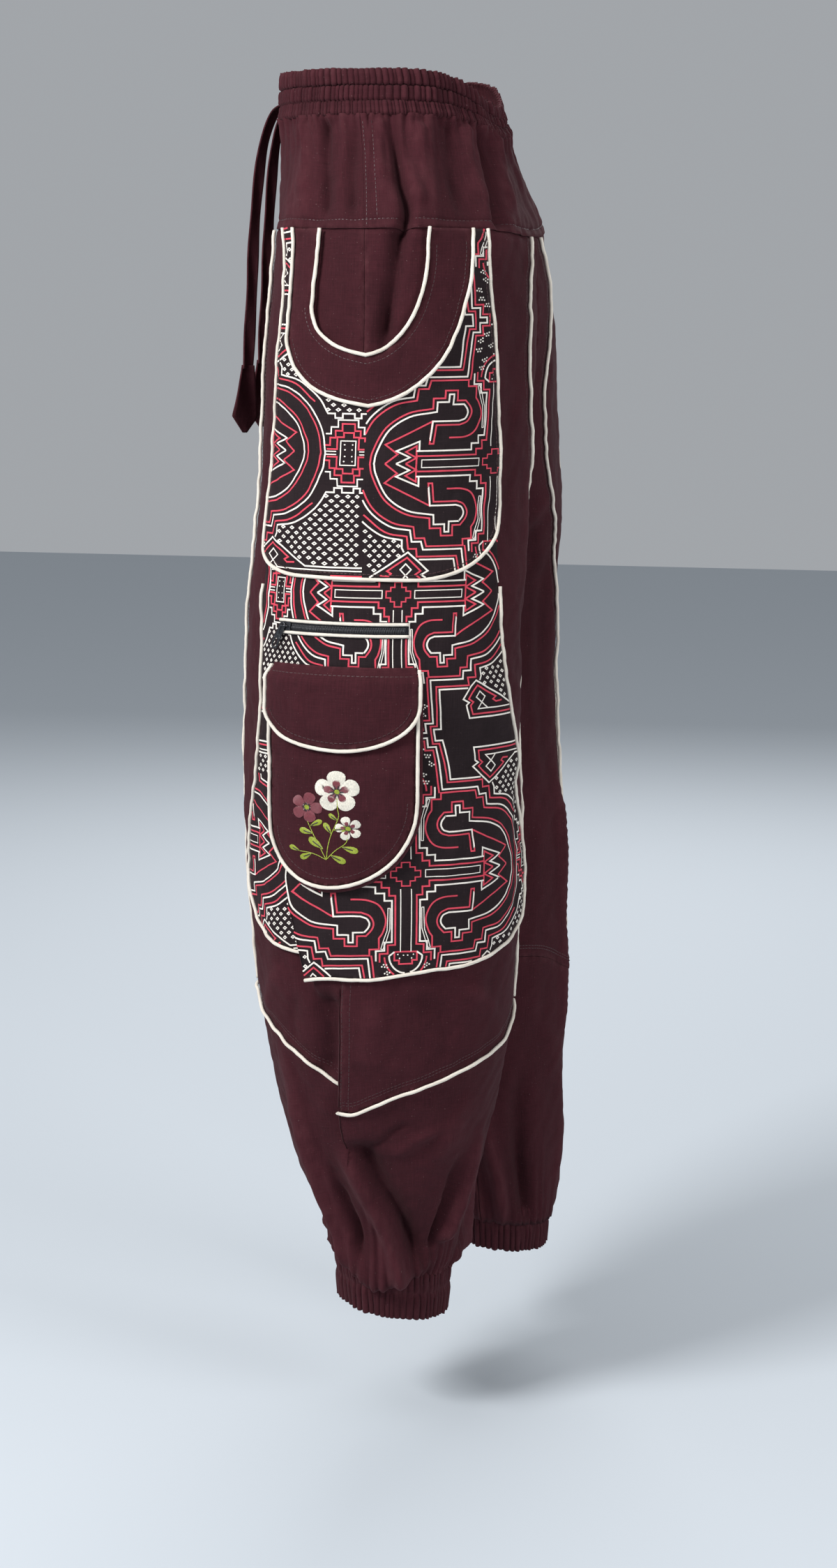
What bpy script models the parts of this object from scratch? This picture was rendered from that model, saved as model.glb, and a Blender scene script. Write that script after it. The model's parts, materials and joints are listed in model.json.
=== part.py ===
"""Harem pants, worn shape, hollow: elastic waist, two baggy legs, side panels and pockets.

Metres, +Z up.  The origin is on the middle plane, level with the waist's upper edge and over the
side seams.  The front faces -Y and the wearer's left leg is at +X.  A point on a leg is given by
an angle and a height: angle 0 is the outer side of the leg, -90 its front, +90 its back and 180
its inner side.
"""
import math

import bmesh
import bpy
from mathutils import Vector
from mathutils.geometry import delaunay_2d_cdt

# ---------------------------------------------------------------- driving dimensions
CLOTH = 0.0012            # thickness of one layer of cotton
BAND_THICKNESS = 0.0024   # shirred elastic, two layers of cloth and rubber
CUFF_THICKNESS = 0.0020
GAP = 0.0003              # clearance between pieces at a seam
CROSS_GAP = 0.0008        # the same at the level seams, where the cloth bends inwards
CUFF_GAP = 0.0012         # the same over the cuffs, where the leg narrows fast
LAYER = 0.0020            # step from one sewn-on layer to the next
PIPING_RADIUS = 0.0015
ZIP_LIP_RADIUS = 0.0013
PIPING_CLEARANCE = 0.0005
SEAM_PIPING_CLEARANCE = 0.0008

BAND_BOTTOM = -0.0345     # seam between waistband and yoke
YOKE_BOTTOM = -0.1245     # seam between yoke and legs
CUFF_TOP = -0.9880
CUFF_BOTTOM = -1.0260

COLUMNS = 18              # facets round one leg
GIRTH_SCALE = 0.105       # metres of girth to one radian, for flat pattern work

# Leg sections.  cx, cy: centre, cy for each leg; a: half width in X; b: half depth in Y;
# back_dip: how far the ring dips at its back; tilt: rise of the ring per metre towards the back.
SECTIONS = [
    # z        cx      a       b       cy_left  cy_right back_dip tilt
    (0.0000, 0.0000, 0.1160, 0.0860, -0.0225, -0.0225, 0.026, 0.00),
    (-0.0345, 0.0000, 0.1210, 0.0900, -0.0190, -0.0190, 0.016, 0.00),
    (-0.0800, 0.0030, 0.1360, 0.0960, -0.0120, -0.0120, 0.010, 0.00),
    (-0.1245, 0.0110, 0.1500, 0.1038, -0.0062, -0.0062, 0.006, 0.00),
    (-0.1700, 0.0280, 0.1410, 0.1070, -0.0045, -0.0045, 0.000, 0.00),
    (-0.2200, 0.0420, 0.1320, 0.1092, -0.0040, -0.0040, 0.000, 0.00),
    (-0.2800, 0.0580, 0.1210, 0.1085, -0.0045, -0.0045, 0.000, 0.00),
    (-0.3400, 0.0750, 0.1110, 0.1085, -0.0045, -0.0045, 0.000, 0.00),
    (-0.3700, 0.0865, 0.1040, 0.1098, -0.0040, -0.0055, 0.000, 0.00),
    (-0.4050, 0.0992, 0.0980, 0.1115, -0.0035, -0.0100, 0.000, 0.00),
    (-0.4300, 0.1045, 0.0965, 0.1125, -0.0035, -0.0130, 0.000, 0.00),
    (-0.5000, 0.1085, 0.0980, 0.1132, -0.0040, -0.0165, 0.000, 0.00),
    (-0.5800, 0.1100, 0.0990, 0.1132, -0.0040, -0.0145, 0.000, 0.00),
    (-0.6600, 0.1100, 0.0990, 0.1126, -0.0030, -0.0090, 0.000, 0.00),
    (-0.7400, 0.1085, 0.0970, 0.1070, -0.0030, 0.0000, 0.000, 0.00),
    (-0.8000, 0.1060, 0.0925, 0.0995, -0.0020, 0.0080, 0.000, 0.00),
    (-0.8600, 0.1030, 0.0835, 0.0890, -0.0020, 0.0195, 0.000, 0.00),
    (-0.9100, 0.1010, 0.0715, 0.0745, -0.0010, 0.0330, 0.000, -0.03),
    (-0.9450, 0.0990, 0.0605, 0.0610, 0.0000, 0.0420, 0.000, -0.08),
    (-0.9700, 0.0980, 0.0525, 0.0520, 0.0005, 0.0470, 0.000, -0.14),
    (-0.9880, 0.0980, 0.0470, 0.0465, 0.0000, 0.0495, 0.000, -0.16),
    (-1.0260, 0.0980, 0.0440, 0.0435, 0.0000, 0.0495, 0.000, -0.16),
]

# Heights of the rows of facets: one each side of the level seams.
ROWS = [0.000, BAND_BOTTOM + 0.5 * CROSS_GAP, BAND_BOTTOM - 0.5 * CROSS_GAP, -0.078,
        YOKE_BOTTOM + 0.5 * CROSS_GAP, YOKE_BOTTOM - 0.5 * CROSS_GAP, -0.165, -0.210, -0.255, -0.300,
        -0.345, -0.380, -0.400, -0.418, -0.450, -0.500, -0.550, -0.600, -0.650, -0.700, -0.745, -0.790,
        -0.835, -0.880, -0.920, -0.950, -0.972, CUFF_TOP + 0.5 * CUFF_GAP, CUFF_TOP - 0.5 * CUFF_GAP,
        CUFF_BOTTOM]

# Largest folds: a ridge (or a trough, height below zero) from its top end to its bottom end.
FOLDS = [
    # leg     z_top    z_bottom angle_top angle_bottom half_width height
    ("both", -0.050, -0.150, 14.0, 22.0, 15.0, 0.0035),
    ("both", -0.050, -0.170, 66.0, 58.0, 16.0, 0.0040),
    ("both", -0.050, -0.160, -34.0, -46.0, 16.0, 0.0030),
    ("both", -0.250, -0.640, 118.0, 122.0, 24.0, -0.0070),
    ("both", -0.290, -0.700, -112.0, -118.0, 24.0, -0.0060),
    ("left", -0.690, -0.850, -14.0, -16.0, 15.0, -0.0060),
    ("left", -0.690, -0.850, 10.0, 6.0, 18.0, 0.0045),
    ("left", -0.800, -0.990, -46.0, -28.0, 17.0, 0.0060),
    ("left", -0.830, -0.985, -8.0, 30.0, 18.0, -0.0065),
    ("left", -0.820, -0.970, 26.0, 62.0, 22.0, 0.0060),
    ("right", -0.700, -0.860, 14.0, 20.0, 18.0, -0.0055),
    ("right", -0.810, -0.985, -30.0, -12.0, 18.0, 0.0060),
    ("right", -0.820, -0.980, 30.0, 8.0, 18.0, -0.0060),
    ("right", -0.780, -0.980, 110.0, 78.0, 22.0, 0.0060),
]

# Hem of the upper leg: a point at the outer side, rising to the front and the back.
HEM = [
    # angle   z
    (-180.0, -0.748),
    (-110.0, -0.750),
    (-77.0, -0.757),
    (-6.0, -0.830),
    (86.0, -0.784),
    (112.0, -0.758),
    (180.0, -0.748),
]

HEM_NEAR_SEAMS = -0.765   # about where the piped seams reach the hem

# Piped seams that divide each leg's front and back, as angles down the leg.
SEAM_TABLE = [
    # z        front   back_left back_right
    (-0.1245, -64.0, 86.0, 86.0),
    (-0.1700, -65.0, 83.5, 86.0),
    (-0.2100, -68.0, 82.5, 92.0),
    (-0.2500, -71.0, 85.0, 101.0),
    (-0.3000, -74.0, 94.0, 105.0),
    (-0.3500, -77.0, 103.0, 101.0),
    (-0.4300, -80.0, 107.0, 92.0),
    (-0.5000, -82.0, 108.0, 85.0),
    (-0.6200, -84.0, 109.0, 84.0),
    (-0.8500, -84.0, 108.0, 86.0),
]

# Side edges of the printed side panel and of the hip pocket, down to where they round off.
SIDE_PANEL = [
    # z       front  back_left back_right
    (-0.3450, -49.0, 62.0, 62.0),
    (-0.4300, -48.0, 64.5, 64.0),
    (-0.4800, -47.0, 69.0, 65.0),
    (-0.5200, -48.0, 75.5, 67.0),
    (-0.5600, -52.0, 84.0, 69.0),
    (-0.6000, -59.0, 92.0, 71.0),
    (-0.6450, -65.0, 96.0, 73.0),
]
SIDE_PANEL_FRONT_FOOT = (-10.0, -0.7080)
SIDE_PANEL_POINT = (6.0, -0.7185)
SIDE_PANEL_BACK_FOOT = (30.0, -0.7175)
SIDE_PANEL_BACK_DROP = 0.0200   # the back corner starts this far below the front one

HIP_POCKET = [
    # z       front   back
    (-0.1250, -41.5, 50.5),
    (-0.1650, -41.0, 52.0),
    (-0.2000, -41.0, 54.5),
    (-0.2400, -43.0, 57.0),
    (-0.3000, -47.0, 60.5),
    (-0.3520, -48.7, 61.7),
]
HIP_POCKET_FRONT_START = (-49.0, -0.3780)
HIP_POCKET_FRONT_FOOT = (-25.0, -0.3962)
HIP_POCKET_BACK_FOOT = (20.0, -0.3980)

# The scooped pocket mouth: two nested U curves with the binding between them.
SCOOP_INNER = {"front_top": (-21.0, -0.1250), "front_start": (-23.8, -0.1860),
               "foot": (1.5, -0.2225), "back_start": (26.8, -0.1350), "back_top": (27.2, -0.1250)}
SCOOP_OUTER = {"front_top": (-34.5, -0.1250), "front_start": (-35.0, -0.2110),
               "foot": (3.0, -0.2605), "back_start": (44.6, -0.1320), "back_top": (44.8, -0.1250)}

ZIP_Z = -0.4380           # middle of the zip
ZIP_FRONT, ZIP_BACK = -35.0, 21.0
ZIP_TAPE_HALF = 0.0058
ZIP_CHAIN_HALF = 0.0021
ZIP_LIP_RISE = 0.0072     # from the middle of the zip to each lip
SLIDER_ANGLE = -31.5

SLIDER_LENGTH, SLIDER_WIDTH, SLIDER_BASE = 0.0090, 0.0078, 0.0014
SLIDER_LIFT = 0.0056      # underside of the slider over the base cloth's inner face
BAIL_RADIUS = 0.0007
BAIL_HALF = 0.0028        # half the distance between the bail's two posts
TAB_LENGTH, TAB_WIDTH, TAB_THICKNESS = 0.0235, 0.0068, 0.0012
TAB_TOP_RADIUS = 0.0030
TAB_WINDOW_WIDTH, TAB_WINDOW_LENGTH = 0.0036, 0.0072
TAB_CLEARANCE = 0.0004    # over the slider, under the bail's bar and round its post
TAB_LEAN = 24.0           # how far the hanging tab points to the front of plumb

FLAP = {"top": -0.4675, "front": -37.5, "back": 24.6, "front_start": -0.5030,
        "back_start": -0.4960, "foot": (-5.0, -0.5318)}
CARGO = {"top": -0.4800, "front": -37.0, "front_low": -36.0, "back": 24.0, "front_start": -0.5980,
         "back_start": -0.5740, "foot": (-10.0, -0.6415)}
BELLOWS_REACH = 0.0052    # how far the folded bellows shows past the pocket
BELLOWS_WIDTH = 0.0140
BELLOWS_THICKNESS = 0.0040
FLAP_FALL = 0.0110        # how far below its seam the flap reaches its full height
FLAP_CLEARANCE = 0.0022

# Drawstring: two flat ties with flared ends, from the front of the waistband.
TIE_WIDTH, TIE_THICKNESS = 0.0105, 0.0018
TIE_FLARE_WIDTH, TIE_FLARE_LENGTH, TIE_POINT = 0.0280, 0.0400, 0.0140
TIES = {
    # name: points (x, y, z) from below its top end down to the start of the flared end
    "drawstring_left": [(0.014, -0.1210, -0.0290), (0.018, -0.1285, -0.0520), (0.022, -0.1335, -0.0900),
                        (0.025, -0.1365, -0.1350), (0.026, -0.1385, -0.1800), (0.027, -0.1400, -0.2080),
                        (0.027, -0.1420, -0.2400)],
    "drawstring_right": [(-0.013, -0.1205, -0.0290), (-0.015, -0.1275, -0.0520), (-0.016, -0.1325, -0.0900),
                         (-0.016, -0.1355, -0.1350), (-0.015, -0.1375, -0.1800), (-0.014, -0.1390, -0.2080),
                         (-0.013, -0.1400, -0.2370)],
}
TIE_TOP = 0.011           # distance of each tie's top end from the middle plane
TIE_TOP_Z = -0.0210
TIE_FACING = (0.80, -0.60, 0.0)

COLOURS = {
    # finish: (colour, roughness, metallic)
    "brown_cotton": ((0.055, 0.014, 0.018), 0.85, 0.0),
    "printed_cotton": ((0.030, 0.014, 0.016), 0.80, 0.0),
    "cream_piping": ((0.80, 0.75, 0.66), 0.70, 0.0),
    "zip_tape": ((0.010, 0.010, 0.012), 0.75, 0.0),
    "zip_nylon": ((0.012, 0.012, 0.014), 0.35, 0.0),
    "zip_metal": ((0.020, 0.021, 0.025), 0.30, 0.8),
}


# ---------------------------------------------------------------- scene and materials
for old in list(bpy.data.objects):
    bpy.data.objects.remove(old, do_unlink=True)

garment = bpy.data.collections.new("harem_pants")
bpy.context.scene.collection.children.link(garment)


def finish(obj, finish_name):
    """Put the object in the garment's collection with a material of its own."""
    colour, roughness, metallic = COLOURS[finish_name]
    material = bpy.data.materials.new(obj.name + "_" + finish_name)
    material.use_nodes = True
    shader = material.node_tree.nodes["Principled BSDF"]
    shader.inputs["Base Color"].default_value = (*colour, 1.0)
    shader.inputs["Roughness"].default_value = roughness
    shader.inputs["Metallic"].default_value = metallic
    obj.data.materials.append(material)
    garment.objects.link(obj)
    return obj


# ---------------------------------------------------------------- form of the worn cloth
def lerp_table(table, key, column):
    """Value of a column at a key that runs down the table's first column, either way."""
    rows = sorted(table, key=lambda row: row[0])
    if key <= rows[0][0]:
        return rows[0][column]
    for low, high in zip(rows, rows[1:]):
        if key <= high[0]:
            share = (key - low[0]) / (high[0] - low[0])
            return low[column] + (high[column] - low[column]) * share
    return rows[-1][column]


def smooth_table(table, key, column):
    """The same through a smooth curve with no overshoot between rows."""
    rows = sorted(table, key=lambda row: row[0])
    if key <= rows[0][0]:
        return rows[0][column]
    if key >= rows[-1][0]:
        return rows[-1][column]
    index = max(i for i, row in enumerate(rows) if row[0] <= key)
    index = min(index, len(rows) - 2)

    def slope(i):
        if i == 0 or i == len(rows) - 1:
            return 0.0 if i else (rows[1][column] - rows[0][column]) / (rows[1][0] - rows[0][0])
        before = (rows[i][column] - rows[i - 1][column]) / (rows[i][0] - rows[i - 1][0])
        after = (rows[i + 1][column] - rows[i][column]) / (rows[i + 1][0] - rows[i][0])
        if before * after <= 0.0:
            return 0.0
        return 2.0 * before * after / (before + after)

    low, high = rows[index], rows[index + 1]
    step = high[0] - low[0]
    t = (key - low[0]) / step
    return ((2 * t ** 3 - 3 * t ** 2 + 1) * low[column] + (t ** 3 - 2 * t ** 2 + t) * step * slope(index)
            + (3 * t ** 2 - 2 * t ** 3) * high[column] + (t ** 3 - t ** 2) * step * slope(index + 1))


def section(leg, z):
    """Centre, half axes, back dip and tilt of a leg's section at a height."""
    cy_column = 4 if leg == "left" else 5
    return [smooth_table(SECTIONS, z, column) for column in (1, cy_column, 2, 3, 6, 7)]


def fold_height(leg, angle, z):
    """Sum of the large folds at a point, along the cloth's outward direction."""
    total = 0.0
    for owner, z_top, z_bottom, angle_top, angle_bottom, half_width, height in FOLDS:
        if owner not in ("both", leg) or not z_bottom < z < z_top:
            continue
        share = (z_top - z) / (z_top - z_bottom)
        off = abs(angle - (angle_top + (angle_bottom - angle_top) * share)) / half_width
        if off < 1.0:
            total += height * math.sin(math.pi * share) ** 0.6 * math.cos(0.5 * math.pi * off) ** 2
    return total


def cloth_point(leg, angle, z):
    """Point on the inner face of the leg's base cloth."""
    cx, cy, a, b, back_dip, tilt = section(leg, z)
    turn = math.radians(angle)
    out = Vector((math.cos(turn) / a, math.sin(turn) / b, 0.0)).normalized()
    at = Vector((cx + a * math.cos(turn), cy + b * math.sin(turn), z)) + out * fold_height(leg, angle, z)
    at.z += tilt * (at.y - cy) - back_dip * max(0.0, math.sin(turn)) ** 6
    if leg == "right":
        at.x = -at.x
    return at


def outward(leg, angle, z):
    """Unit normal of the cloth, pointing out of the garment."""
    step_angle, step_z = 1.5, 0.004
    along = cloth_point(leg, angle + step_angle, z) - cloth_point(leg, angle - step_angle, z)
    low = max(z - step_z, ROWS[-1])
    high = min(z + step_z, ROWS[0])
    up = cloth_point(leg, angle, high) - cloth_point(leg, angle, low)
    normal = along.cross(up).normalized()
    return -normal if leg == "right" else normal


# ---------------------------------------------------------------- lattice of facets
ANGLES = [360.0 * i / COLUMNS - 180.0 for i in range(COLUMNS + 1)]
LATTICE = {leg: [[(cloth_point(leg, angle, z), outward(leg, angle, z)) for angle in ANGLES] for z in ROWS]
           for leg in ("left", "right")}


def flat(angle, z):
    """Flat pattern place of a point, in metres."""
    return Vector((math.radians(angle) * GIRTH_SCALE, z))


def lattice_place(place):
    """Column and row of the lattice at a flat place, as numbers with fractions."""
    z = min(max(place[1], ROWS[-1]), ROWS[0])
    row = next(i for i in range(len(ROWS) - 1) if z >= ROWS[i + 1] - 1e-9)
    share = (ROWS[row] - z) / (ROWS[row] - ROWS[row + 1])
    return (math.degrees(place[0] / GIRTH_SCALE) + 180.0) * COLUMNS / 360.0, row + share


def facet_point(leg, place, offset):
    """Point on the lattice's own triangles under a flat place, moved out by the offset."""
    across, down = lattice_place(place)
    column = min(max(math.floor(across), 0), COLUMNS - 1)
    row = min(math.floor(down), len(ROWS) - 2)
    across, down = across - column, down - row
    upper, lower = LATTICE[leg][row], LATTICE[leg][row + 1]
    if across > down:
        corners = (upper[column], upper[column + 1], lower[column + 1])
        weights = (1.0 - across, across - down, down)
    else:
        corners = (upper[column], lower[column], lower[column + 1])
        weights = (1.0 - down, down - across, across)
    point = sum((corner[0] * weight for corner, weight in zip(corners, weights)), Vector())
    normal = sum((corner[1] * weight for corner, weight in zip(corners, weights)), Vector())
    return point + normal * offset


def inside(polygon, place):
    """Whether a flat place lies in a polygon."""
    result = False
    for p, q in zip(polygon, polygon[1:] + polygon[:1]):
        if (p[1] > place[1]) != (q[1] > place[1]):
            if place[0] < p[0] + (place[1] - p[1]) * (q[0] - p[0]) / (q[1] - p[1]):
                result = not result
    return result


def cut_piece(outline, crease=()):
    """Flat triangles of the lattice inside an outline: the shape is cut along it.

    A crease is an open line across the piece that its facets also follow.
    """
    low = Vector((min(p[0] for p in outline), min(p[1] for p in outline)))
    high = Vector((max(p[0] for p in outline), max(p[1] for p in outline)))
    places, edges = [], []
    names = {}
    margin = 0.06

    def node(row, column):
        if (row, column) not in names:
            names[row, column] = len(places)
            places.append(flat(ANGLES[column], ROWS[row]))
        return names[row, column]

    for row in range(len(ROWS) - 1):
        if ROWS[row + 1] > high[1] + margin or ROWS[row] < low[1] - margin:
            continue
        for column in range(COLUMNS):
            if not low[0] - margin < flat(ANGLES[column], 0.0)[0] < high[0] + margin:
                continue
            a, b = node(row, column), node(row, column + 1)
            c, d = node(row + 1, column + 1), node(row + 1, column)
            edges += [(a, b), (b, c), (c, d), (d, a), (a, c)]
    start = len(places)
    places += [Vector(p) for p in outline]
    edges += [(start + i, start + (i + 1) % len(outline)) for i in range(len(outline))]
    start = len(places)
    places += [Vector(p) for p in crease]
    edges += [(start + i, start + i + 1) for i in range(len(crease) - 1)]
    unique = sorted({tuple(sorted(edge)) for edge in edges})
    verts, _, faces, *_ = delaunay_2d_cdt(places, unique, [], 0, 1e-6)
    kept = []
    for face in faces:
        middle = sum((verts[i] for i in face), Vector((0.0, 0.0))) / len(face)
        if inside(outline, middle):
            kept.append(face)
    return verts, kept


def cloth_object(name, finish_name, cuts, offset=0.0, thickness=CLOTH, crease=(), snap=0.0):
    """A closed wall of cloth from one or more cuts (leg, outline) joined where they touch.

    The offset is a height over the base cloth's inner face, or a function of the flat place.
    A point nearer to the garment's middle plane than snap is put on it, so that both halves join.
    """
    mesh = bmesh.new()
    for leg, outline in cuts:
        verts, faces = cut_piece(outline, crease)
        sheet = bmesh.new()
        made = [sheet.verts.new((v[0], v[1], 0.0)) for v in verts]
        for face in faces:
            sheet.faces.new([made[i] for i in face])
        bmesh.ops.delete(sheet, geom=[v for v in sheet.verts if not v.link_faces], context="VERTS")
        bmesh.ops.remove_doubles(sheet, verts=sheet.verts, dist=0.0011)
        placed = {}
        for vert in sheet.verts:
            height = offset(vert.co) if callable(offset) else offset
            point = facet_point(leg, vert.co, height)
            if abs(point.x) < snap:
                point.x = 0.0
            placed[vert] = mesh.verts.new(point)
        for face in sheet.faces:
            corners = [placed[vert] for vert in face.verts]
            mesh.faces.new(corners if leg == "left" else corners[::-1])
        sheet.free()
    bmesh.ops.remove_doubles(mesh, verts=mesh.verts, dist=0.0001)
    data = bpy.data.meshes.new(name)
    mesh.to_mesh(data)
    mesh.free()
    data.shade_smooth()
    obj = bpy.data.objects.new(name, data)
    wall = obj.modifiers.new("wall", "SOLIDIFY")
    wall.thickness = thickness
    wall.offset = 1.0
    return finish(obj, finish_name)


def layer_offset(layer):
    """Height of the inner face of a sewn-on layer above the inner face of the base cloth."""
    return LAYER * layer


# ---------------------------------------------------------------- outlines on the flat pattern
def table_edge(table, column, top, bottom, shift=0.0):
    """Points down a table's column from top to bottom, moved sideways by shift metres."""
    heights = [top] + [z for z in sorted((row[0] for row in table), reverse=True)
                       if bottom + 1e-4 < z < top - 1e-4] + [bottom]
    points = []
    for z in heights:
        place = flat(lerp_table(table, z, column), z)
        points.append(Vector((place[0] + shift, z)))
    return points


def round_corner(start, foot, steps=4):
    """Quarter of an ellipse from a side edge (start) to the bottom edge (foot), in (angle, z)."""
    points = []
    for i in range(steps + 1):
        turn = 0.5 * math.pi * i / steps
        angle = foot[0] + (start[0] - foot[0]) * math.cos(turn)
        points.append(flat(angle, start[1] + (foot[1] - start[1]) * math.sin(turn)))
    return points


def u_curve(scoop):
    """A pocket mouth from its front top, round the foot, to its back top."""
    front = [flat(*scoop["front_top"])] + round_corner(scoop["front_start"], scoop["foot"])
    back = [flat(*scoop["back_top"])] + round_corner(scoop["back_start"], scoop["foot"], 6)
    return front + back[-2::-1]


def shift_curve(points, distance):
    """A curve moved to its left side, in flat metres, with its corners kept sharp."""
    moved = []
    for i, point in enumerate(points):
        before = points[max(i, 1)] - points[max(i, 1) - 1]
        last = min(i, len(points) - 2)
        after = points[last + 1] - points[last]
        before, after = before.normalized(), after.normalized()
        along = (before + after).normalized()
        stretch = 1.0 / max(along.dot(after), 0.5)
        moved.append(point + Vector((-along[1], along[0])) * (distance * stretch))
    return moved


def trim_top(points, z):
    """Keep a curve's ends below a height."""
    return [Vector((p[0], min(p[1], z))) for p in points]


def hem_edge(start, end, rise):
    """The pointed hem between two angles, moved up by rise."""
    angles = [start] + [row[0] for row in HEM if start < row[0] < end] + [end]
    return [flat(angle, lerp_table(HEM, angle, 1) + rise) for angle in angles]


def flat_at(leg, sign, x, z):
    """Flat place at the front (sign -1) or back (+1) whose facet is x away from the middle plane."""
    near, far = 0.5 * math.pi * GIRTH_SCALE * 0.8, math.pi * GIRTH_SCALE
    for _ in range(30):
        middle = 0.5 * (near + far)
        point = facet_point(leg, Vector((sign * middle, z)), 0.0)
        if (point.x if leg == "left" else -point.x) > x:
            near = middle
        else:
            far = middle
    return Vector((sign * near, z))


def middle_edge(leg, sign, top, bottom):
    """Front (sign -1) or back (+1) edge on the garment's middle plane, then down the inseam."""
    heights = [top]
    for high, low in zip(ROWS, ROWS[1:]):
        steps = 4 if -0.430 < high < YOKE_BOTTOM and high - low > 0.01 else 1
        heights += [high + (low - high) * (i + 1) / steps for i in range(steps)]
    heights = [top] + [z for z in heights if bottom + 1e-4 < z < top - 1e-4] + [bottom]
    inseam = math.pi * GIRTH_SCALE - 0.5 * GAP
    points = []
    for z in heights:
        place = flat_at(leg, sign, 0.0, z)
        normal = (facet_point(leg, place, 1.0) - facet_point(leg, place, 0.0)).normalized()
        place = flat_at(leg, sign, 0.5 * GAP + (CLOTH + GAP) * abs(normal.x), z)
        points.append(Vector((sign * min(abs(place[0]), inseam), z)))
    return points


# ---------------------------------------------------------------- pieces
def waist():
    """Elastic waistband and the front and back yokes, each one piece across the middle."""
    for name, top, bottom, front, back, thickness in (
            ("waistband", 0.0, BAND_BOTTOM, True, True, BAND_THICKNESS),
            ("yoke_front", BAND_BOTTOM, YOKE_BOTTOM, True, False, CLOTH),
            ("yoke_back", BAND_BOTTOM, YOKE_BOTTOM, False, True, CLOTH)):
        high = top if top == 0.0 else top - 0.5 * CROSS_GAP
        low = bottom + 0.5 * CROSS_GAP
        cuts = []
        for leg in ("left", "right"):
            heights = [high] + [z for z in ROWS if low + 1e-5 < z < high - 1e-5] + [low]
            first = [flat_at(leg, -1, 0.0, z) if front else Vector((0.5 * GAP, z)) for z in heights]
            last = [flat_at(leg, 1, 0.0, z) if back else Vector((-0.5 * GAP, z)) for z in heights]
            cuts.append((leg, first + last[::-1]))
        cloth_object(name, "brown_cotton", cuts, 0.0, thickness, snap=0.003)


def follow_facets(points, shortest=0.003):
    """The line with a point wherever it crosses an edge of the lattice."""
    line = [points[0]]
    for point in points[1:]:
        start = line[-1]
        marks = []
        ends = [lattice_place(place) for place in (start, point)]
        lines = [(low, high) for low, high in zip(*ends)] + [tuple(c - r for c, r in ends)]
        for low, high in lines:
            for whole in range(math.ceil(min(low, high) + 1e-6), math.floor(max(low, high) - 1e-6) + 1):
                marks.append((whole - low) / (high - low))
        for mark in sorted(marks):
            spot = start + (point - start) * mark
            if (spot - line[-1]).length > shortest and (spot - point).length > shortest:
                line.append(spot)
        line.append(point)
    return line


def piping(name, leg, points, height, radius=PIPING_RADIUS):
    """A cord in its cover, sewn along a line: a round tube that lies on the cloth."""
    line = follow_facets(points)
    curve = bpy.data.curves.new(name, "CURVE")
    curve.dimensions = "3D"
    curve.bevel_depth = radius
    curve.bevel_resolution = 0
    curve.use_fill_caps = True
    spline = curve.splines.new("POLY")
    spline.points.add(len(line) - 1)
    for spot, place in zip(spline.points, line):
        spot.co = (*facet_point(leg, place, height), 1.0)
    return finish(bpy.data.objects.new(name, curve), "cream_piping")


def piping_height(layer):
    """Height of a piping's middle when it lies on a layer of cloth."""
    clearance = PIPING_CLEARANCE if layer else SEAM_PIPING_CLEARANCE
    return layer_offset(layer) + CLOTH + PIPING_RADIUS + clearance


def legs(leg):
    back_column = 2 if leg == "left" else 3
    top = YOKE_BOTTOM - 0.5 * CROSS_GAP
    half = 0.5 * GAP
    front_angle = lerp_table(SEAM_TABLE, HEM_NEAR_SEAMS, 1)
    back_angle = lerp_table(SEAM_TABLE, HEM_NEAR_SEAMS, back_column)
    front_low = lerp_table(HEM, front_angle, 1) + half
    back_low = lerp_table(HEM, back_angle, 1) + half
    inner_low = lerp_table(HEM, 180.0, 1) + half

    front_inner = middle_edge(leg, -1, top, inner_low)
    back_inner = middle_edge(leg, 1, top, inner_low)
    front_line = table_edge(SEAM_TABLE, 1, top, front_low)
    back_line = table_edge(SEAM_TABLE, back_column, top, back_low)
    inseam_front = math.degrees(front_inner[-1][0] / GIRTH_SCALE)
    inseam_back = math.degrees(back_inner[-1][0] / GIRTH_SCALE)
    side = math.degrees(half / GIRTH_SCALE)

    def moved(line, shift):
        return [Vector((p[0] + shift, p[1])) for p in line]

    outline = front_inner + hem_edge(inseam_front, front_angle, half)[1:-1] + moved(front_line, -half)[::-1]
    cloth_object("front_panel_" + leg, "brown_cotton", [(leg, outline)])
    outline = (moved(front_line, half) + hem_edge(front_angle, -side, half)[1:]
               + [flat(-side, top)])
    cloth_object("front_side_panel_" + leg, "brown_cotton", [(leg, outline)])
    outline = ([flat(side, top)] + hem_edge(side, back_angle, half)[:-1]
               + moved(back_line, -half)[::-1])
    cloth_object("back_side_panel_" + leg, "brown_cotton", [(leg, outline)])
    outline = moved(back_line, half) + hem_edge(back_angle, inseam_back, half)[1:-1] + back_inner[::-1]
    cloth_object("back_panel_" + leg, "brown_cotton", [(leg, outline)])

    piping("front_piping_" + leg, leg, table_edge(SEAM_TABLE, 1, top - 0.002, front_low + 0.006),
           piping_height(0))
    piping("back_piping_" + leg, leg, table_edge(SEAM_TABLE, back_column, top - 0.002, back_low + 0.006),
           piping_height(0))
    # the knee seam is piped on the outer side only, between the front and back seams
    piping("knee_piping_" + leg, leg, hem_edge(front_angle, back_angle, 0.0), piping_height(0))


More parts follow.
